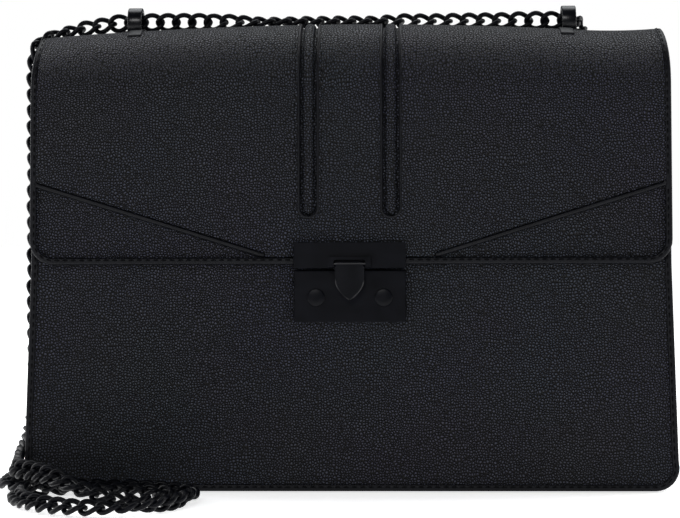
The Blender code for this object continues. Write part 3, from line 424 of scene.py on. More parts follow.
# Worked out from the values above
HALF_DEPTH = BASE_DEPTH / 2
CORNER_TO_CENTRE = math.hypot(HALF_DEPTH, TOP_CENTRE_HEIGHT)
LEAN = math.atan2(HALF_DEPTH, TOP_CENTRE_HEIGHT) - math.asin(TOP_RADIUS / CORNER_TO_CENTRE)
WALL_LENGTH = math.sqrt(CORNER_TO_CENTRE**2 - TOP_RADIUS**2)
ARC_LENGTH = TOP_RADIUS * (math.pi - 2 * LEAN)
SECTION_LENGTH = 2 * WALL_LENGTH + ARC_LENGTH
CREST_HEIGHT = TOP_CENTRE_HEIGHT + TOP_RADIUS
PANEL_INSET = BAND_WIDTH - PANEL_TUCK
OVERLAY_HALF = SHOULDER_WIDTH / 2 - PANEL_INSET
TRIM_SLOPE = TRIM_RISE / (SHOULDER_WIDTH / 2 - TRIM_END_X)


def clamp(share):
    return min(1, max(0, share))


def eased(share):
    """A share that starts and ends slowly."""
    return share * share * (3 - 2 * share)


def s_at(height):
    """How far along the front of the section a height is."""
    return height / math.cos(LEAN)


def back_s_at(height):
    return SECTION_LENGTH - s_at(height)


def section(s, offset):
    """The y and z of a point of the section curve, moved outwards by offset."""
    if s > SECTION_LENGTH / 2:
        y, z = section(SECTION_LENGTH - s, offset)
        return -y, z
    if s < WALL_LENGTH:
        y = -HALF_DEPTH + s * math.sin(LEAN) - offset * math.cos(LEAN)
        z = s * math.cos(LEAN) + offset * math.sin(LEAN)
        return y, z
    angle = LEAN + (s - WALL_LENGTH) / TOP_RADIUS
    radius = TOP_RADIUS + offset
    return -radius * math.cos(angle), TOP_CENTRE_HEIGHT + radius * math.sin(angle)


def half_width(s):
    """Half the bag's width at a place along the section."""
    height = section(s, 0)[1]
    if height < FLAP_EDGE_HEIGHT:
        share = height / FLAP_EDGE_HEIGHT
        return BASE_WIDTH / 2 + (SHOULDER_WIDTH - BASE_WIDTH) / 2 * share
    share = max(0, (height - SHOULDER_HEIGHT) / (CREST_HEIGHT - SHOULDER_HEIGHT))
    return SHOULDER_WIDTH / 2 - (SHOULDER_WIDTH - CREST_WIDTH) / 2 * share**2


def wrap(x, s, offset):
    """The place in the room of a point of a panel; the crest sinks to both ends, less on the right."""
    y, z = section(s, offset)
    share = max(0, (z - DROP_START_HEIGHT) / (CREST_HEIGHT + OVERLAY_FACE - DROP_START_HEIGHT))
    across = (x / (CREST_WIDTH / 2)) ** 2
    if x > 0:
        across -= RIGHT_HOLD * max(0, across - RIGHT_HOLD_FROM) ** 2
    return Vector((x, y, z - CREST_DROP * across * eased(share)))


def smooth_route(route, step):
    """Points along a smooth curve through the route's points, about step apart."""
    points = [Vector(p) for p in route]
    padded = [2 * points[0] - points[1]] + points + [2 * points[-1] - points[-2]]
    made = []
    for a, b, c, d in zip(padded, padded[1:], padded[2:], padded[3:]):
        count = max(1, round((c - b).length / step))
        for i in range(count):
            t = i / count
            bend = (2 * a - 5 * b + 4 * c - d) * t**2 + (3 * b - a - 3 * c + d) * t**3
            made.append(0.5 * (2 * b + (c - a) * t + bend))
    return made + [points[-1]]


def evenly(points, pitch, lead=0.0):
    """Cuts a line into equal steps near to the pitch: each place with its direction, and the whole length."""
    lengths = [(b - a).length for a, b in zip(points, points[1:])]
    total = sum(lengths)
    count = max(1, round(total / pitch))
    made = []
    at = 0
    passed = 0
    for i in range(count):
        goal = (i + lead) * total / count
        while passed + lengths[at] < goal:
            passed += lengths[at]
            at += 1
        step = points[at + 1] - points[at]
        made.append((points[at] + step * ((goal - passed) / lengths[at]), step.normalized()))
    return made, total


def pile_route():
    """The heap in front of the bag: an oval, deeper to the front, that widens on the floor."""
    made = []
    count = round(PILE_LOOP_POINTS * (PILE_TURNS_SHARE - PILE_START_SHARE))
    for i in range(count + 1):
        turn = PILE_START_SHARE + (PILE_TURNS_SHARE - PILE_START_SHARE) * i / count
        angle = math.pi + 2 * math.pi * turn
        sink = (turn - PILE_SINK_START_SHARE) / (PILE_SINK_END_SHARE - PILE_SINK_START_SHARE)
        across = (PILE_HALF_LENGTH + PILE_LENGTH_SPREAD * turn) * math.cos(angle)
        deep = PILE_BACK_DEPTH + PILE_BACK_SPREAD * turn
        if math.sin(angle) < 0:
            deep = PILE_FRONT_DEPTH + PILE_FRONT_SPREAD * turn
        y = PILE_CENTRE_Y + deep * math.sin(angle) - PILE_TILT_SHARE * across
        z = PILE_FLOOR_HEIGHT + PILE_LAYER * (1 - eased(clamp(sink)))
        made.append(Vector((PILE_CENTRE_X + across, y, z)))
    return made


def chain_route():
    """The whole closed route: left loop, left side, heap, behind the bag, right loop, over the top."""
    pile = pile_route()
    ahead = pile[0] - (pile[1] - pile[0]).normalized() * CHAIN_DIAMETER
    behind = pile[-1] - Vector((CHAIN_DIAMETER, 0, 0))
    top = [Vector((side * CHAIN_TOP_HALF, CHAIN_TOP_Y, CHAIN_TOP_HEIGHT)) for side in (-1, 1)]
    left = smooth_route(LEFT_ROUTE + (ahead,), CHAIN_STEP)
    for point in left:
        low = clamp((LEFT_PULL_FROM - point.z) / PULL_FADE)
        near = clamp((point.y - LEFT_PULL_FRONT) / PULL_FADE)
        point.x += LEFT_PULL * low * near
    back = smooth_route((behind,) + BACK_ROUTE + (top[1],), CHAIN_STEP)
    for point in back:
        pull = RIGHT_PULL_SHARE * clamp((point.z - RIGHT_PULL_FROM) / PULL_FADE)
        point.x -= pull * max(0, point.x - CHAIN_TOP_HALF)
    over = [top[1].lerp(top[0], i / TOP_STEPS) for i in range(1, TOP_STEPS + 1)]
    return left + pile + back + over


def placed(name, data):
    """Puts a mesh, curve, light or camera in the scene."""
    thing = bpy.data.objects.new(name, data)
    bpy.context.scene.collection.objects.link(thing)
    return thing


def coat(thing, look):
    """Gives an object one finish all over."""
    thing.data.materials.clear()
    thing.data.materials.append(look)


def finished(name, work, look, body=None):
    """Closes a bmesh into an object with its finish, on a CAD body where one is named."""
    bmesh.ops.recalc_face_normals(work, faces=work.faces)
    data = bpy.data.meshes.new(name)
    work.to_mesh(data)
    work.free()
    data.shade_smooth()
    thing = placed(name, data)
    coat(thing, look)
    if body:
        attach(thing, body)
    return thing


def skin(work, rings, closed=False):
    """Faces from ring to ring, and over both ends where the last ring doesn't join the first."""
    pairs = list(zip(rings, rings[1:]))
    if closed:
        pairs.append((rings[-1], rings[0]))
    for a, b in pairs:
        for k in range(len(a)):
            j = (k + 1) % len(a)
            work.faces.new((a[k], a[j], b[j], b[k]))
    if not closed:
        work.faces.new(rings[0][::-1])
        work.faces.new(rings[-1])


def make_camera():
    """The camera at the photograph's place and angle."""
    data = bpy.data.cameras.new("photo_camera")
    data.lens = CAMERA_LENS
    data.sensor_width = CAMERA_SENSOR
    camera = placed("photo_camera", data)
    turn = Matrix.Rotation(CAMERA_YAW, 4, "Z") @ Matrix.Rotation(math.pi / 2 + CAMERA_PITCH, 4, "X")
    camera.matrix_world = Matrix.Translation(CAMERA_PLACE) @ turn @ Matrix.Rotation(CAMERA_ROLL, 4, "Z")
    bpy.context.scene.camera = camera


def filled(name, loops):
    """A bmesh of a flat outline with its holes, in the pattern's x and s."""
    curve = bpy.data.curves.new(name, "CURVE")
    curve.dimensions = "2D"
    curve.fill_mode = "BOTH"
    for loop in loops:
        spline = curve.splines.new("POLY")
        spline.points.add(len(loop) - 1)
        spline.use_cyclic_u = True
        for knot, (x, s) in zip(spline.points, loop):
            knot.co = (x, s, 0, 1)
    holder = placed(name, curve)
    graph = bpy.context.evaluated_depsgraph_get()
    data = bpy.data.meshes.new_from_object(holder.evaluated_get(graph))
    work = bmesh.new()
    work.from_mesh(data)
    bpy.data.objects.remove(holder)
    bpy.data.curves.remove(curve)
    bpy.data.meshes.remove(data)
    return work


def cut(work, level, cell):
    """Gives a flat outline its rim, with a layer for how high this is, and cuts it all into cells."""
    inner = work.faces[:]
    for share, reached in RIM_STOPS:
        ring = bmesh.ops.inset_region(
            work, faces=inner, thickness=RIM_WIDTH * share, use_boundary=True, use_even_offset=True
        )["faces"]
        outside = set(ring)
        inner = [f for f in inner if f not in outside]
        for vert in dict.fromkeys(v for f in inner for v in f.verts):
            vert[level] = reached
    for normal in (Vector((1, 0, 0)), Vector((0, 1, 0))):
        places = [v.co.dot(normal) for v in work.verts]
        for place in run(min(places), max(places), cell)[1:-1]:
            parts = work.verts[:] + work.edges[:] + work.faces[:]
            bmesh.ops.bisect_plane(work, geom=parts, dist=CUT, plane_co=normal * place, plane_no=normal)


def panel(name, loops, face, thickness, look, body=None, relief=None, cell=PANEL_CELL):
    """A leather panel cut to a flat pattern, with softly rounded edges, laid on the section."""
    work = filled(name, loops)
    bmesh.ops.remove_doubles(work, verts=work.verts, dist=WELD)
    if sum(f.normal.z * f.calc_area() for f in work.faces) < 0:
        bmesh.ops.reverse_faces(work, faces=work.faces)
    level = work.verts.layers.float.new("rim")
    pattern = work.verts.layers.float_vector.new("pattern")
    cut(work, level, cell)
    rims = [e for e in work.edges if e.is_boundary]
    places = {v: (v.co.x, v.co.y, v[level]) for v in work.verts}
    copy = bmesh.ops.duplicate(work, geom=work.verts[:] + work.edges[:] + work.faces[:])
    twin = copy["vert_map"]
    backs = [f for f in copy["geom"] if isinstance(f, bmesh.types.BMFace)]
    for vert, (x, s, reached) in places.items():
        fall = RIM_WIDTH * (1 - math.sqrt(1 - (1 - reached) ** 2))
        lift = relief(x, s) * reached if relief else 0
        vert[pattern] = twin[vert][pattern] = (x, s, 0)
        vert.co = wrap(x, s, face - min(fall, thickness * RIM_FALL_SHARE) + lift)
        twin[vert].co = wrap(x, s, face - thickness)
    bmesh.ops.reverse_faces(work, faces=backs)
    for edge in rims:
        a, b = edge.verts
        work.faces.new((a, twin[a], twin[b], b))
    return finished(name, work, look, body)


def ribbon(name, lefts, rights, face, back, look, fullness, body=None, closed=False):
    """A rounded strip between two lines of the flat pattern, such as a turned edge or a bead."""
    work = bmesh.new()
    pattern = work.verts.layers.float_vector.new("pattern")
    across = [0.5 - 0.5 * math.cos(math.pi * k / STRIP_STEPS) for k in range(STRIP_STEPS + 1)]
    profile = []
    for t in across:
        rise = (1 - abs(2 * t - 1) ** fullness) ** (1 / fullness)
        profile.append((t, back + (face - back) * rise))
    profile += [(t, back - STRIP_TUCK) for t in (1 - STRIP_TUCK_SHARE, STRIP_TUCK_SHARE)]
    rings = []
    for (x0, s0), (x1, s1) in zip(lefts, rights):
        ring = []
        for t, offset in profile:
            x = x0 + (x1 - x0) * t
            s = s0 + (s1 - s0) * t
            vert = work.verts.new(wrap(x, s, offset))
            vert[pattern] = (x, s, 0)
            ring.append(vert)
        rings.append(ring)
    skin(work, rings, closed)
    return finished(name, work, look, body)


def stitches(name, lines, offset, body=None):
    """A row of sewn stitches along lines of the flat pattern: each dips into the leather at its ends."""
    work = bmesh.new()
    for line in lines:
        for place, heading in evenly([Vector(p) for p in line], STITCH_PITCH, 0.5)[0]:
            aside = Vector((-heading.y, heading.x))
            rings = []
            for along, width, rise in STITCH_STOPS:
                centre = place + heading * (along * STITCH_PITCH * STITCH_SHARE / 2)
                ring = []
                for k in range(STITCH_SIDES):
                    turn = math.tau * k / STITCH_SIDES
                    x, s = centre + aside * (math.cos(turn) * width * STITCH_WIDTH / 2)
                    lift = STITCH_DIP_SHARE * rise + STITCH_ROUND_SHARE * math.sin(turn) * width
                    ring.append(work.verts.new(wrap(x, s, offset + STITCH_WIDTH * lift)))
                rings.append(ring)
            skin(work, rings)
    return finished(name, work, thread(), body)


def add_link(work, centre, heading, wide):
    """One curb link: an oval of round wire, twisted an eighth of a turn each way about its length."""
    reach = (LINK_PITCH + LINK_WIRE) / 2
    half = (LINK_WIDTH - LINK_WIRE) / 2
    normal = heading.cross(wide)
    points = []
    for i in range(LINK_POINTS):
        around = math.tau * i / LINK_POINTS
        along = reach * math.cos(around)
        turn = LINK_TWIST * along / reach
        aside = wide * math.cos(turn) + normal * math.sin(turn)
        points.append(centre + heading * along + aside * (half * math.sin(around)))
    rings = []
    for i, place in enumerate(points):
        tangent = (points[(i + 1) % len(points)] - points[i - 1]).normalized()
        outward = (place - centre).normalized()
        side = tangent.cross(outward).normalized()
        up = side.cross(tangent)
        ring = []
        for k in range(LINK_SIDES):
            turn = math.tau * k / LINK_SIDES
            ring.append(work.verts.new(place + (up * math.cos(turn) + side * math.sin(turn)) * LINK_WIRE / 2))
        rings.append(ring)
    skin(work, rings, closed=True)


def chain_leanings(places, headings):
    """Which way each link lies wide: chosen at places along the chain and turned evenly between."""
    normals = [Vector((0, 0, 1))]
    for a, b in zip(headings, headings[1:]):
        normals.append((a.rotation_difference(b) @ normals[-1]).normalized())
    keys = []
    at = 0
    for place, wish in LINK_LEANINGS:
        goal = Vector(place)
        far = [(p - goal).length for p in places[at:at + LINK_SEARCH]]
        at += far.index(min(far))
        normal = normals[at]
        side = headings[at].cross(normal)
        angle = math.atan2(Vector(wish).dot(side), Vector(wish).dot(normal))
        if keys:
            angle += math.pi * round((keys[-1][1] - angle) / math.pi)
        keys.append((at, angle))
    made = []
    for i, (heading, normal) in enumerate(zip(headings, normals)):
        before = max((k for k in keys if k[0] <= i), default=keys[0])
        after = min((k for k in keys if k[0] >= i), default=keys[-1])
        share = eased((i - before[0]) / max(1, after[0] - before[0]))
        angle = before[1] + (after[1] - before[1]) * share
        made.append(normal * math.cos(angle) + heading.cross(normal) * math.sin(angle))
    return made


def make_chain():
    """The strap's curb chain, one closed run of links through both loops."""
    chance = random.Random(LINK_SPIN_SEED)
    fine = smooth_route(chain_route(), LINK_PITCH / LINK_FINENESS)
    steps, total = evenly(fine, LINK_PITCH)
    places = [place for place, heading in steps]
    following = places[1:] + places[:1]
    preceding = places[-1:] + places[:-1]
    headings = [(b - a).normalized() for a, b in zip(preceding, following)]
    wides = chain_leanings(places, headings)
    work = bmesh.new()
    for place, heading, wide in zip(places, headings, wides):
        spin = math.radians(chance.uniform(-LINK_SPIN, LINK_SPIN))
        wide = Matrix.Rotation(spin, 3, heading) @ wide
        add_link(work, place, heading, (wide - heading * wide.dot(heading)).normalized())
    chain = finished("strap_chain", work, black_metal(), "body")
    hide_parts("chain_top_run", "chain_left_drop", "chain_heap", "chain_back_run")


def rounded_bar(half_across, half_through):
    """The cross section of a bar with round corners."""
    made = []
    for corner, (sx, sy) in enumerate(((1, 1), (-1, 1), (-1, -1), (1, -1))):
        for i in range(LOOP_EDGE_STEPS + 1):
            turn = math.pi / 2 * (corner + i / LOOP_EDGE_STEPS)
            across = sx * (half_across - LOOP_EDGE) + LOOP_EDGE * math.cos(turn)
            made.append((across, sy * (half_through - LOOP_EDGE) + LOOP_EDGE * math.sin(turn)))
    return made


def make_chain_loop(name):
    """An upright loop of flat bar with softened edges; its front leg ends in the leather tab."""
    low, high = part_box(f"chain_loop_{name}")
    x = (low[0] + high[0]) / 2
    centre_y = (low[1] + high[1]) / 2
    half = (high[0] - low[0]) / 2
    outer = (high[1] - low[1]) / 2
    arch = high[2] - outer
    middle = outer - LOOP_THICKNESS / 2
    foot = low[2] + (high[2] - low[2]) * LOOP_LEG_SHARE
    line = [(-middle, foot), (-middle, arch)]
    for i in range(1, LOOP_STEPS):
        turn = math.pi * i / LOOP_STEPS
        line.append((-middle * math.cos(turn), arch + middle * math.sin(turn)))
    line += [(middle, arch), (middle, low[2])]
    work = bmesh.new()
    rings = []
    for i, (y, z) in enumerate(line):
        before = line[max(0, i - 1)]
        after = line[min(len(line) - 1, i + 1)]
        heading = Vector((0, after[0] - before[0], after[1] - before[1])).normalized()
        out = Vector((-1, 0, 0)).cross(heading)
        ring = []
        for across, through in rounded_bar(half, LOOP_THICKNESS / 2):
            ring.append(work.verts.new(Vector((x + across, centre_y + y, z)) + out * through))
        rings.append(ring)
    skin(work, rings)
    loop = finished(f"loop_{name}", work, polished_metal(), "body")
    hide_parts(f"chain_loop_{name}")


def blank(name, roughness, shine=PLAIN_SHINE):
    """A material with its shader, before its textures."""
    look = bpy.data.materials.new(name)
    look.use_nodes = True
    shader = look.node_tree.nodes["Principled BSDF"]
    shader.inputs["Roughness"].default_value = roughness
    shader.inputs["Specular IOR Level"].default_value = shine
    return look, look.node_tree, shader


def link(tree, source, output, target, socket):
    tree.links.new(source.outputs[output], target.inputs[socket])


def node(tree, kind, **values):
    """A node with its settings; a name that isn't a socket's is one of the node's own."""
    made = tree.nodes.new(kind)
    for key, value in values.items():
        if key in made.inputs:
            made.inputs[key].default_value = value
        else:
            setattr(made, key, value)
    return made


def texture(tree, kind, **values):
    """A texture that lies on the object's own metres."""
    made = node(tree, kind, **values)
    where = tree.nodes.get("Texture Coordinate") or node(tree, "ShaderNodeTexCoord")
    link(tree, where, "Object", made, "Vector")
    return made


def ramp(tree, stops, kind="LINEAR"):
    """A colour ramp; a stop is its place with a grey or a colour."""
    stops = [(place, (tone,) * 3 if isinstance(tone, float) else tone) for place, tone in stops]
    made = tree.nodes.new("ShaderNodeValToRGB")
    made.color_ramp.interpolation = kind
    made.color_ramp.elements[0].position = stops[0][0]
    made.color_ramp.elements[0].color = (*stops[0][1], 1)
    made.color_ramp.elements[1].position = stops[-1][0]
    made.color_ramp.elements[1].color = (*stops[-1][1], 1)
    for position, colour in stops[1:-1]:
        stop = made.color_ramp.elements.new(position)
        stop.color = (*colour, 1)
    return made


def tint(tree, shader, source, output, stops, patch=None, patch_share=0.0):
    """Colours the surface by a texture, darkened in soft patches by a second one."""
    colour = ramp(tree, stops)
    link(tree, source, output, colour, "Fac")
    if not patch:
        link(tree, colour, "Color", shader, "Base Color")
        return
    varied = node(tree, "ShaderNodeMix", data_type="RGBA", blend_type="MULTIPLY", Factor=patch_share)
    link(tree, colour, "Color", varied, 6)
    link(tree, patch, "Color", varied, 7)
    link(tree, varied, 2, shader, "Base Color")


def gloss(tree, shader, source, output, ends):
    """Varies the roughness by a texture, from its first value to its second."""
    rough = node(tree, "ShaderNodeMapRange")
    rough.inputs["To Min"].default_value = ends[0]
    rough.inputs["To Max"].default_value = ends[1]
    link(tree, source, output, rough, "Value")
    link(tree, rough, "Result", shader, "Roughness")


def bump(tree, shader, height, output, distance, strength, below=None):
    """Relief from a texture, on top of an earlier relief where there is one."""
    made = node(tree, "ShaderNodeBump", Strength=strength, Distance=distance)
    link(tree, height, output, made, "Height")
    if below:
        link(tree, below, "Normal", made, "Normal")
    link(tree, made, "Normal", shader, "Normal")
    return made


def cloudy(tree, scale, detail=3.0, roughness=0.5):
    """Cloudy noise; a higher detail or roughness makes it finer."""
    return texture(tree, "ShaderNodeTexNoise", Scale=scale, Detail=detail, Roughness=roughness)


@functools.cache
def grained_leather():
    """Pebbled calf leather: round grains a little over a millimetre across, with painted shade in the furrows
    and tops lighter from wear and a painted highlight.
    """
    look, tree, shader = blank("pebbled_calf_leather", roughness=0.4, shine=LEATHER_SHINE)
    spread = node(tree, "ShaderNodeAttribute", attribute_name="pattern")
    drift = node(tree, "ShaderNodeTexNoise", Scale=GRAIN_DRIFT_SCALE, Detail=2.0)
    link(tree, spread, "Vector", drift, "Vector")
    shifted = node(tree, "ShaderNodeMix", data_type="VECTOR", Factor=GRAIN_DRIFT)
    link(tree, spread, "Vector", shifted, 4)
    link(tree, drift, "Color", shifted, 5)
    grain = node(tree, "ShaderNodeMath", operation="MULTIPLY")
    shapes = (("DISTANCE_TO_EDGE", GRAIN_EDGE_STOPS), ("F1", GRAIN_DOME_STOPS))
    for socket, (feature, stops) in enumerate(shapes):
        cell = node(
            tree, "ShaderNodeTexVoronoi", voronoi_dimensions="2D", feature=feature,
            Scale=GRAIN_SCALE, Randomness=GRAIN_RANDOMNESS,
        )
        link(tree, shifted, 1, cell, "Vector")
        shape = ramp(tree, stops, "EASE")
        link(tree, cell, "Distance", shape, "Fac")
        link(tree, shape, "Color", grain, socket)
    fine = cloudy(tree, SKIN_SCALE, roughness=0.6)
    patch = cloudy(tree, LEATHER_PATCH_SCALE)
    # The grain's height colours it: painted shade in the furrows, wear and a painted highlight on the tops
    stops = ((0.0, LEATHER_FURROW_SHADE), (GRAIN_SLOPE_STOP, LEATHER_SLOPE), (1.0, LEATHER_TOP_WEAR_AND_HIGHLIGHT))
    tint(tree, shader, grain, "Value", stops, patch, LEATHER_PATCH_SHARE)
    gloss(tree, shader, grain, "Value", LEATHER_GLOSS)
    skin_relief = bump(tree, shader, fine, "Fac", SKIN_DEPTH, strength=0.25)
    bump(tree, shader, grain, "Value", GRAIN_DEPTH, strength=1.0, below=skin_relief)
    return look


@functools.cache
def smooth_leather():
    """The smooth turned edges and beads: fine pores and soft creases along them."""
    look, tree, shader = blank("smooth_calf_leather", roughness=0.42, shine=SMOOTH_SHINE)
    pores = cloudy(tree, PORE_SCALE, detail=2.0)
    creases = cloudy(tree, CREASE_SCALE, detail=4.0, roughness=0.65)
    patch = cloudy(tree, SMOOTH_PATCH_SCALE)
    tint(tree, shader, patch, "Fac", ((0.3, SMOOTH_DARK), (0.7, SMOOTH_LIGHT)))
    gloss(tree, shader, creases, "Fac", SMOOTH_GLOSS)
    pore_relief = bump(tree, shader, pores, "Fac", PORE_DEPTH, strength=0.2)
    bump(tree, shader, creases, "Fac", CREASE_DEPTH, strength=0.35, below=pore_relief)
    return look


@functools.cache
def black_metal(name="satin_black_lacquer", shine=METAL_SHINE, ends=METAL_GLOSS, peel_strength=0.3):
    """Satin black lacquer on metal: a faint orange-peel surface, smeared a little by handling."""
    look, tree, shader = blank(name, roughness=0.34, shine=shine)
    peel = cloudy(tree, PEEL_SCALE, detail=2.0)
    smear = cloudy(tree, SMEAR_SCALE, detail=4.0)
    tint(tree, shader, smear, "Fac", ((0.3, METAL_DARK), (0.75, METAL_LIGHT)))
    gloss(tree, shader, smear, "Fac", ends)
    bump(tree, shader, peel, "Fac", PEEL_DEPTH, peel_strength)
    return look


def polished_metal():
    """The same lacquer, polished: the tongue and the loops."""
    return black_metal("polished_black_lacquer", POLISHED_SHINE, POLISHED_GLOSS, peel_strength=0.06)


@functools.cache
def thread():
    """Black polyester thread, twisted."""
    look, tree, shader = blank("twisted_thread", roughness=0.55, shine=THREAD_SHINE)
    twist = texture(
        tree, "ShaderNodeTexWave", Scale=THREAD_SCALE, Distortion=2.0, bands_direction="DIAGONAL"
    )
    tint(tree, shader, twist, "Fac", ((0.0, THREAD_DARK), (1.0, THREAD_LIGHT)))
    bump(tree, shader, twist, "Fac", THREAD_DEPTH, strength=0.5)
    return look


@functools.cache
def lining_cloth():
    """Black twill lining."""
    look, tree, shader = blank("lining_twill", roughness=0.75)
    weave = node(tree, "ShaderNodeMath", operation="MULTIPLY")
    for socket, (scale, direction) in enumerate(((WARP_SCALE, "DIAGONAL"), (WEFT_SCALE, "Z"))):
        yarn = texture(
            tree, "ShaderNodeTexWave", Scale=scale, Distortion=0.6, Detail=1.0, bands_direction=direction
        )
        link(tree, yarn, "Fac", weave, socket)
    patch = cloudy(tree, CLOTH_PATCH_SCALE)
    stops = ((0.0, CLOTH_DARK), (1.0, CLOTH_LIGHT))
    tint(tree, shader, weave, "Value", stops, patch, CLOTH_PATCH_SHARE)
    shader.inputs["Sheen Weight"].default_value = CLOTH_SHEEN
    bump(tree, shader, weave, "Value", WEAVE_DEPTH, strength=0.5)
    return look


def stiff_board():
    """The base board: pressed fibre."""
    look, tree, shader = blank("pressed_board", roughness=0.85)
    fibre = cloudy(tree, FIBRE_SCALE, detail=5.0)
    tint(tree, shader, fibre, "Fac", ((0.3, CLOTH_DARK), (0.7, CLOTH_LIGHT)))
    bump(tree, shader, fibre, "Fac", FIBRE_DEPTH, strength=0.4)
    return look


def floor_white():
    """A white table that glows a little from below, so that it shows no shadow's edge."""
    look, tree, shader = blank("floor_white", roughness=0.7)
    grain = cloudy(tree, FLOOR_SCALE)
    tint(tree, shader, grain, "Fac", ((0.0, FLOOR_DARK), (1.0, FLOOR_LIGHT)))
    shader.inputs["Emission Color"].default_value = WHITE
    shader.inputs["Emission Strength"].default_value = FLOOR_GLOW
    return look


def arc(x, y, radius, start, end, steps=CORNER_STEPS):
    """Points of an arc in the flat pattern, from one angle in degrees to another."""
    turn = [math.radians(start + (end - start) * i / steps) for i in range(steps + 1)]
    return [(x + radius * math.cos(a), y + radius * math.sin(a)) for a in turn]


def run(start, end, step=EDGE_STEP):
    """Places from one to another, evenly spaced."""
    count = max(1, round(abs(end - start) / step))
    return [start + (end - start) * i / count for i in range(count + 1)]


def both_sides(right):
    """A line from the right half of the pattern, with its mirror image before it."""
    return [(-x, s) for x, s in reversed(right)] + right


def mirrored(line):
    """A line of the back wall in the same pattern, from the line of the front wall."""
    return [(x, SECTION_LENGTH - s) for x, s in line]


def side_line(start, end, inset):
    return [(half_width(s) - inset, s) for s in run(start, end)]


def body_edge(top, inset, floor):
    """The body's edge from the top left corner down, along the base and up to the top right."""
    reach = CORNER_RADIUS - inset
    right = arc(half_width(0) - inset - reach, floor + inset + reach, reach, -90, 0)
    return both_sides(right + side_line(floor + inset + reach, top, inset)[1:])


def flap_edge(tail, inset):
    """The flap's edge from the tail behind on the left, down round the front and back up."""
    bottom = s_at(FLAP_EDGE_HEIGHT)
    reach = CORNER_RADIUS - inset
    side = half_width(bottom) - inset
    right = arc(side - reach, bottom + CORNER_RADIUS, reach, -90, 0)
    right += side_line(bottom + CORNER_RADIUS, tail, inset)[1:]
    middle = [(x, bottom + inset) for x in run(-side + reach, side - reach, LINE_STEP)[1:-1]]
    return [(-x, s) for x, s in reversed(right)] + middle + right


def trim_line(x):
    """How high the lower edge of the V trim is at a place across the flap."""
    return s_at(FLAP_EDGE_HEIGHT) + BAND_WIDTH + GAP + max(0, abs(x) - TRIM_END_X) * TRIM_SLOPE


def trim_lift(width):
    """How far up the pattern a width across the slanting trim reaches."""
    return width / math.cos(math.atan(TRIM_SLOPE))


def slot_edge(x, half):
    """The long slot's edge round both ends, from the front end's left side onwards."""
    low = s_at(SLOT_END_HEIGHT) + SLOT_WIDTH / 2
    high = back_s_at(SLOT_BACK_END_HEIGHT) - SLOT_WIDTH / 2
    up = [(x + half, s) for s in run(low, high)[1:-1]]
    down = [(x - half, s) for s in run(high, low)[1:-1]]
    front_end = arc(x, low, half, 180, 360, SLOT_END_STEPS)
    return front_end + up + arc(x, high, half, 0, 180, SLOT_END_STEPS) + down


def crown(x, s):
    """How far the body panel swells between its edges, with slight waves of soft leather."""
    across = max(0, 1 - (x / (BASE_WIDTH / 2)) ** 2)
    up = max(0, math.sin(math.pi * min(1, s / s_at(MOUTH_HEIGHT))))
    wave = noise.noise(Vector((x * BODY_WAVE_SCALE, s * BODY_WAVE_SCALE, BODY_WAVE_LAYER)))
    return (PANEL_SWELL + PANEL_WAVE * wave) * across * up


def flap_waves(x, s):
    """Slight waves of soft leather on the flap, none at its sides."""
    wave = noise.noise(Vector((x * FLAP_WAVE_SCALE, s * FLAP_WAVE_SCALE, FLAP_WAVE_LAYER)))
    away = clamp((half_width(s) - abs(x)) / FLAP_WAVE_FADE)
    return PANEL_WAVE * FLAP_WAVE_SHARE * wave * away


def across_fold(piece):
    """Bakes the placing of leather that crosses the fold into its mesh; it rides on neither the flap nor the
    body.
    """
    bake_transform(piece)


def make_body_leather():
    """Front and back panels, their turned edges, the sewing on these and the mouth's binding."""
    for side, height in (("front", MOUTH_HEIGHT), ("back", BACK_PANEL_HEIGHT)):
        top = s_at(height)
        waves = crown
        rim = [(x, top) for x in run(-half_width(top), half_width(top), LINE_STEP)]
        lines = [rim, [(x, top - BAND_WIDTH) for x, s in rim]]
        lines += [body_edge(top, inset, BODY_FLOOR) for inset in (PANEL_INSET, 0, BAND_WIDTH)]
        lines.append(body_edge(top - STITCH_TOP_GAP, BAND_WIDTH - STITCH_INSET, BODY_FLOOR))
        if side == "back":
            lines = [mirrored(line) for line in lines]
            waves = None
        rim, under, outline, outer, inner, sewn = lines
        piece = panel(
            f"{side}_panel_leather", [outline], PANEL_FACE, BODY_LEATHER, grained_leather(), "body", waves
        )
        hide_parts(f"{side}_panel")
        edge = ribbon(
            f"{side}_turned_edge", outer, inner, BAND_FACE, BAND_BACK,
            smooth_leather(), EDGE_FULLNESS, "body",
        )
        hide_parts(f"{side}_edge_band")
        stitches(f"{side}_edge_stitches", [sewn], BAND_FACE, "body")
        binding = ribbon(
            f"{side}_mouth_binding", rim, under, BAND_FACE, BAND_BACK,
            smooth_leather(), BINDING_FULLNESS, "body",
        )


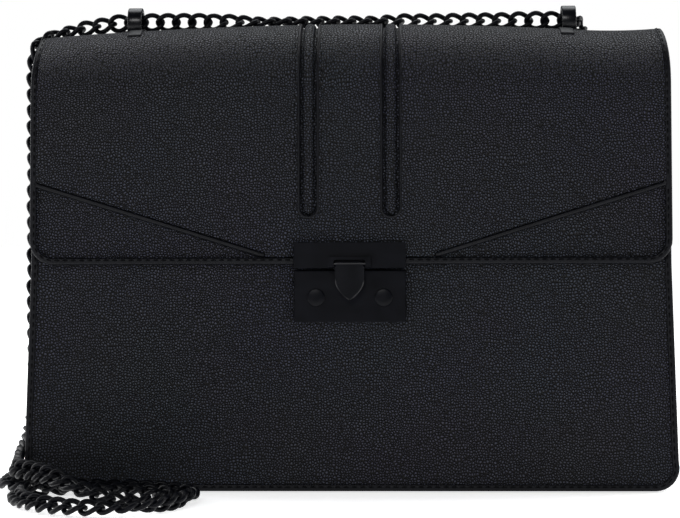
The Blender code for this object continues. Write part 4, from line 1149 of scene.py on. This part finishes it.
def make_gusset():
    """The strip round sides and base, hollowed a little between its two seams."""
    outer = body_edge(s_at(MOUTH_HEIGHT), GAP, 0)
    inner = body_edge(s_at(MOUTH_HEIGHT), GUSSET_THICKNESS, 0)
    work = bmesh.new()
    pattern = work.verts.layers.float_vector.new("pattern")
    rings = []
    along = 0
    before = outer[0]
    for (x0, s0), (x1, s1) in zip(outer, inner):
        along += math.dist(before, (x0, s0))
        before = (x0, s0)
        reach = -section(s0, 0)[0] - PANEL_THICKNESS - GAP
        fade = min(1, s0 * math.cos(LEAN) / GUSSET_FADE_HEIGHT)
        ring = []
        for k in range(GUSSET_STEPS + 1):
            t = 2 * k / GUSSET_STEPS - 1
            hollow = GUSSET_HOLLOW * (1 - t * t) * fade
            crease = GUSSET_CREASE * math.exp(-(t / GUSSET_CREASE_SHARE) ** 2) * fade
            share = (hollow + crease) / GUSSET_THICKNESS
            z = (s0 + (s1 - s0) * share) * math.cos(LEAN)
            vert = work.verts.new((x0 + (x1 - x0) * share, t * reach, z))
            vert[pattern] = (t * reach, along, 0)
            ring.append(vert)
        for t in (1, -1):
            ring.append(work.verts.new((x1, t * reach, s1 * math.cos(LEAN))))
        rings.append(ring)
    skin(work, rings)
    gusset = finished("gusset_leather", work, grained_leather(), "body")
    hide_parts("gusset_band")


def make_flap_leather():
    """The flap's shell, its lining and its turned edge, from the front over the fold."""
    tail = back_s_at(ROOF_TAIL_HEIGHT)
    outline = flap_edge(tail, EDGE_TUCK)
    outer = flap_edge(tail, 0)
    inner = flap_edge(tail, BAND_WIDTH)
    shell = panel("flap_leather", [outline], SHELL_FACE, FLAP_LEATHER, grained_leather(), None, flap_waves)
    lining = panel("flap_inner_leather", [outline], FLAP_LINING_FACE, FLAP_LINING_LEATHER, smooth_leather())
    edge = ribbon("flap_turned_edge", outer, inner, EDGE_FACE, EDGE_BACK, smooth_leather(), EDGE_FULLNESS)
    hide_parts("flap_shell", "roof_shell")
    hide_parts("flap_lining", "roof_lining")
    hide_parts("flap_edge_band")
    for piece in (shell, lining, edge):
        across_fold(piece)


def make_overlay():
    """The second layer above the V, with holes for the slots, and the sewing along its edge."""
    tail = back_s_at(ROOF_OVERLAY_TAIL_HEIGHT)
    lift = trim_lift(TRIM_WIDTH)
    right = [(TRIM_END_X - lift, trim_line(0)), (TRIM_END_X, trim_line(0) + lift)]
    right += side_line(trim_line(OVERLAY_HALF) + lift, tail, PANEL_INSET)
    hole = SLOT_WIDTH / 2 + BEAD_WIDTH * SLOT_CUT_SHARE
    loops = [both_sides(right)] + [slot_edge(x, hole) for x in (-SLOT_X, SLOT_X)]
    overlay = panel(
        "overlay_leather", loops, OVERLAY_FACE, OVERLAY_LEATHER, grained_leather(), None, flap_waves
    )
    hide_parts("flap_overlay", "roof_overlay")
    across_fold(overlay)
    sewn = flap_edge(tail, BAND_WIDTH - STITCH_INSET)
    low = [p for p in sewn if p[1] < trim_line(p[0])]
    high = [p for p in sewn if p[1] > trim_line(p[0]) + lift]
    halves = [[p for p in high if p[0] * sign > 0] for sign in (-1, 1)]
    stitches("flap_edge_stitches", [low], EDGE_FACE, "flap")
    across_fold(stitches("overlay_side_stitches", halves, EDGE_FACE))


def make_slot(name, x):
    """A long slot over the fold: its bead, the padded strip inside and the sewing round it."""
    bead = ribbon(
        f"slot_bead_{name}", slot_edge(x, SLOT_WIDTH / 2), slot_edge(x, SLOT_WIDTH / 2 + BEAD_WIDTH),
        BEAD_FACE, BEAD_BACK, smooth_leather(), BEAD_FULLNESS, closed=True,
    )
    low = s_at(SLOT_END_HEIGHT) + (SLOT_WIDTH - STRIP_WIDTH) / 2
    high = back_s_at(SLOT_BACK_END_HEIGHT) - (SLOT_WIDTH - STRIP_WIDTH) / 2
    radius = STRIP_WIDTH / 2
    turns = [math.pi / 2 * i / STRIP_END_STEPS for i in range(1, STRIP_END_STEPS)]
    near = [low + radius * (1 - math.cos(turn)) for turn in turns]
    places = near + run(low + radius, high - radius) + [low + high - s for s in reversed(near)]
    halves = [math.sqrt(radius**2 - max(0, low + radius - s, s - high + radius) ** 2) for s in places]
    lefts = [(x - half, s) for half, s in zip(halves, places)]
    rights = [(x + half, s) for half, s in zip(halves, places)]
    strip = ribbon(f"strip_{name}", lefts, rights, STRIP_FACE, SHELL_FACE, grained_leather(), STRIP_FULLNESS)
    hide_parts(f"padded_strip_{name}", f"padded_strip_back_{name}")
    line = slot_edge(x, SLOT_WIDTH / 2 + BEAD_WIDTH + BEAD_STITCH_INSET)
    sewing = stitches(f"slot_stitches_{name}", [line + line[:1]], OVERLAY_FACE - STITCH_SINK)
    for piece in (bead, strip, sewing):
        across_fold(piece)


def make_trim(name, sign):
    """The folded smooth trim along one arm of the V, and its sewing."""
    lift = trim_lift(TRIM_WIDTH)
    start = sign * (TRIM_END_X - TRIM_LAP)
    end = sign * OVERLAY_HALF
    steps = [start + (end - start) * i / TRIM_STEPS for i in range(TRIM_STEPS + 1)]
    under = [(x, trim_line(x) - trim_lift(TRIM_EXTRA)) for x in steps]
    over = [(x, trim_line(x) + lift) for x in steps]
    trim = ribbon(
        f"v_trim_fold_{name}", under, over, TRIM_FACE, SHELL_FACE, smooth_leather(), TRIM_FULLNESS, "flap"
    )
    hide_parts(f"v_trim_{name}")
    line = [(x, s + trim_lift(TRIM_STITCH_INSET)) for x, s in over[1:-1]]
    stitches(f"v_trim_stitches_{name}", [line], OVERLAY_FACE - STITCH_SINK, "flap")


def make_loop_pad(name):
    """The smooth leather tab that comes out from under a loop on the front of the crest."""
    low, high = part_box(f"chain_loop_{name}")
    start = SECTION_LENGTH / 2 - PAD_FRONT
    end = SECTION_LENGTH / 2 - PAD_BACK
    near = low[0] * PAD_PULL_SHARE
    far = high[0] * PAD_PULL_SHARE
    outline = [(near, start), (far, start), (far, end), (near, end)]
    pad = panel(f"loop_pad_{name}", [outline], PAD_FACE, PAD_LEATHER, smooth_leather(), cell=PAD_CELL)
    across_fold(pad)


def lining_ring(work, x, y, z):
    """One level of the lining: a rectangle with round corners and slightly wavy walls."""
    ring = []
    for corner, (sx, sy) in enumerate(((1, 1), (-1, 1), (-1, -1), (1, -1))):
        px = sx * (x - LINING_CORNER)
        py = sy * (y - LINING_CORNER)
        ring += arc(px, py, LINING_CORNER, 90 * corner, 90 * corner + 90, LINING_CORNER_STEPS)
        fx, fy = ring[-1]
        count = LINING_SHORT_STEPS
        gx, gy = fx, -py
        if corner in (0, 2):
            count = LINING_LONG_STEPS
            gx, gy = -px, fy
        for i in range(1, count):
            ring.append((fx + (gx - fx) * i / count, fy + (gy - fy) * i / count))
    made = []
    for px, py in ring:
        where = Vector((px * LINING_WAVE_SCALE_X, z * LINING_WAVE_SCALE_Z, LINING_WAVE_LAYER + (py > 0)))
        wave = noise.noise(where) * LINING_WAVE
        scale = 1 - abs(wave) / abs(py) if abs(py) > LINING_WAVE_FROM else 1
        made.append(work.verts.new((px, py * scale, z)))
    return made


def make_lining():
    """The lining: a soft box of twill inside the panels, inner walls first, then the outer ones."""
    low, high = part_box("lining_bag")
    work = bmesh.new()
    shares = [i / LINING_LEVELS for i in range(LINING_LEVELS + 1)]
    rings = []
    for deep, downwards in ((LINING_WALL, shares[::-1]), (0, shares)):
        for share in downwards:
            z = high[2] - (high[2] - low[2] - deep) * share
            tuck = (1 - min(1, (z - low[2]) / LINING_ROUND_HEIGHT)) ** 2
            x = half_width(s_at(z)) - GUSSET_THICKNESS - GAP - deep - LINING_ROUND_X * tuck
            y = -section(s_at(z), LINING_FACE - deep)[0] - LINING_ROUND_Y * tuck
            rings.append(lining_ring(work, x, y, z))
    skin(work, rings)
    lining = finished("lining_cloth_bag", work, lining_cloth(), "body")
    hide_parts("lining_bag")


def make_pocket():
    """The slip pocket on the back of the lining, with its welt and sewing."""
    low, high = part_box("inner_pocket")
    base = s_at(low[2])
    top = s_at(high[2])
    half = high[0] - POCKET_CLEARANCE
    right = arc(half - POCKET_CORNER, base + POCKET_CORNER, POCKET_CORNER, -90, 0) + [(half, top)]
    outline = both_sides(right)
    pocket = panel("slip_pocket", [mirrored(outline)], POCKET_FACE, POCKET_CLOTH, lining_cloth(), "body")
    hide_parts("inner_pocket")
    rim = mirrored([(x, top) for x in run(-half, half, LINE_STEP)])
    under = [(x, s + WELT_WIDTH) for x, s in rim]
    welt = ribbon("pocket_welt", rim, under, WELT_FACE, WELT_BACK, smooth_leather(), BINDING_FULLNESS, "body")
    sewn = mirrored([(x * POCKET_SEWN_SHARE, s + POCKET_SEWN_RISE) for x, s in outline])
    stitches("pocket_stitches", [sewn], POCKET_SEWN_FACE, "body")


def wall_place(height, offset):
    """A place on the front wall: X is across, Y up along the wall and Z out of the bag."""
    y, z = section(s_at(height), offset)
    return Matrix.Translation((0, y, z)) @ Matrix.Rotation(math.pi / 2 - LEAN, 4, "X")


def rivet_head(name):
    """A flat-domed rivet turned about its own axis, with a rounded edge and its shank."""
    low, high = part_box(name)
    x = (low[0] + high[0]) / 2
    radius = (high[0] - low[0]) / 2
    rim = RIVET_RISE * RIVET_RIM_SHARE
    profile = [(RIVET_SHANK, -RIVET_SHANK_LENGTH), (RIVET_SHANK, 0), (radius, 0), (radius, rim)]
    for i in range(1, RIVET_ROUND_STEPS + 1):
        turn = math.pi / 2 * i / RIVET_ROUND_STEPS
        across = radius - RIVET_ROUND * (1 - math.cos(turn))
        profile.append((across, rim + RIVET_ROUND_RISE * math.sin(turn)))
    profile += [(radius * across, RIVET_RISE * rise) for across, rise in RIVET_STOPS]
    place = wall_place(RIVET_HEIGHT, LOWER_PLATE_FACE)
    turns = [math.tau * k / RIVET_STEPS for k in range(RIVET_STEPS)]
    work = bmesh.new()
    rings = []
    for r, h in profile:
        points = [place @ Vector((x + r * math.cos(a), r * math.sin(a), h)) for a in turns]
        rings.append([work.verts.new(point) for point in points])
    skin(work, rings)
    head = finished(f"{name}_head", work, black_metal(), "body")
    head.data.set_sharp_from_angle(angle=RIVET_SHARP_ANGLE)
    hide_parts(name)


def dress_nodes():
    """Gives the CAD pieces that stay their finish, and the metal ones softened edges."""
    metal_nodes = (
        "lower_lock_plate", "strike_magnet", "lower_backing_plate", "upper_lock_plate", "upper_backing_plate",
        "tongue_bracket", "lock_tongue", "tongue_magnet", "loop_tab_left", "loop_tab_right",
        "loop_washer_left", "loop_washer_right",
    )
    for name in metal_nodes:
        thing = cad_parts[name]
        coat(thing, polished_metal() if name == "lock_tongue" else black_metal())
        edge = thing.modifiers.new("soft_edge", "BEVEL")
        edge.width = NODE_EDGE
        edge.segments = NODE_EDGE_SEGMENTS
        edge.limit_method = "ANGLE"
        edge.angle_limit = NODE_EDGE_ANGLE
    coat(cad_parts["base_board"], stiff_board())


def make_floor():
    """A plain white floor."""
    work = bmesh.new()
    bmesh.ops.create_grid(work, x_segments=2, y_segments=2, size=FLOOR_HALF)
    data = bpy.data.meshes.new("floor")
    work.to_mesh(data)
    work.free()
    floor = placed("floor", data)
    coat(floor, floor_white())


def make_sky():
    """A white background, which casts only a faint bluish light."""
    world = bpy.data.worlds.new("studio")
    world.use_nodes = True
    tree = world.node_tree
    tree.nodes.clear()
    seen = node(tree, "ShaderNodeBackground", Color=WHITE, Strength=1.0)
    cast = node(tree, "ShaderNodeBackground", Color=SKY_COLOUR, Strength=SKY_STRENGTH)
    path = node(tree, "ShaderNodeLightPath")
    mixed = node(tree, "ShaderNodeMixShader")
    out = node(tree, "ShaderNodeOutputWorld")
    link(tree, path, "Is Camera Ray", mixed, 0)
    link(tree, cast, "Background", mixed, 1)
    link(tree, seen, "Background", mixed, 2)
    link(tree, mixed, "Shader", out, "Surface")
    bpy.context.scene.world = world


def make_lights():
    """Soft boxes in front and at both sides, and a broad soft light from above."""
    for name, place, goal, size, power in LAMPS:
        lamp = bpy.data.lights.new(name, "AREA")
        lamp.shape = "RECTANGLE"
        lamp.size, lamp.size_y = size
        lamp.energy = power
        heading = (Vector(goal) - Vector(place)).to_track_quat("-Z", "Y")
        placed(name, lamp).matrix_world = Matrix.Translation(place) @ heading.to_matrix().to_4x4()
    sun = bpy.data.lights.new("overhead", "SUN")
    sun.energy = SUN_STRENGTH
    sun.color = SUN_COLOUR
    sun.angle = SUN_SPREAD
    placed("overhead", sun).rotation_euler = (SUN_LEAN, 0, 0)
    bpy.context.scene.view_settings.view_transform = "Standard"


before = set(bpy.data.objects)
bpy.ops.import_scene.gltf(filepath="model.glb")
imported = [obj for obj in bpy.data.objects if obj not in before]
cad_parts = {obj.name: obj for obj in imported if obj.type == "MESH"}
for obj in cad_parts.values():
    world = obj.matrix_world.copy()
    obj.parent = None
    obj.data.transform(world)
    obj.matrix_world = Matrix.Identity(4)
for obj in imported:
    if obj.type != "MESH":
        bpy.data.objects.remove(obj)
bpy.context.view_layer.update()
make_camera()
make_chain()
make_body_leather()
make_gusset()
make_flap_leather()
make_overlay()
for side_name, side_sign in (("left", -1), ("right", 1)):
    make_slot(side_name, side_sign * SLOT_X)
    make_trim(side_name, side_sign)
for side_name in ("left", "right"):
    make_loop_pad(side_name)
make_lining()
make_pocket()
for side_name in ("left", "right"):
    make_chain_loop(side_name)
    rivet_head(f"rivet_{side_name}")
dress_nodes()
make_floor()
make_sky()
make_lights()
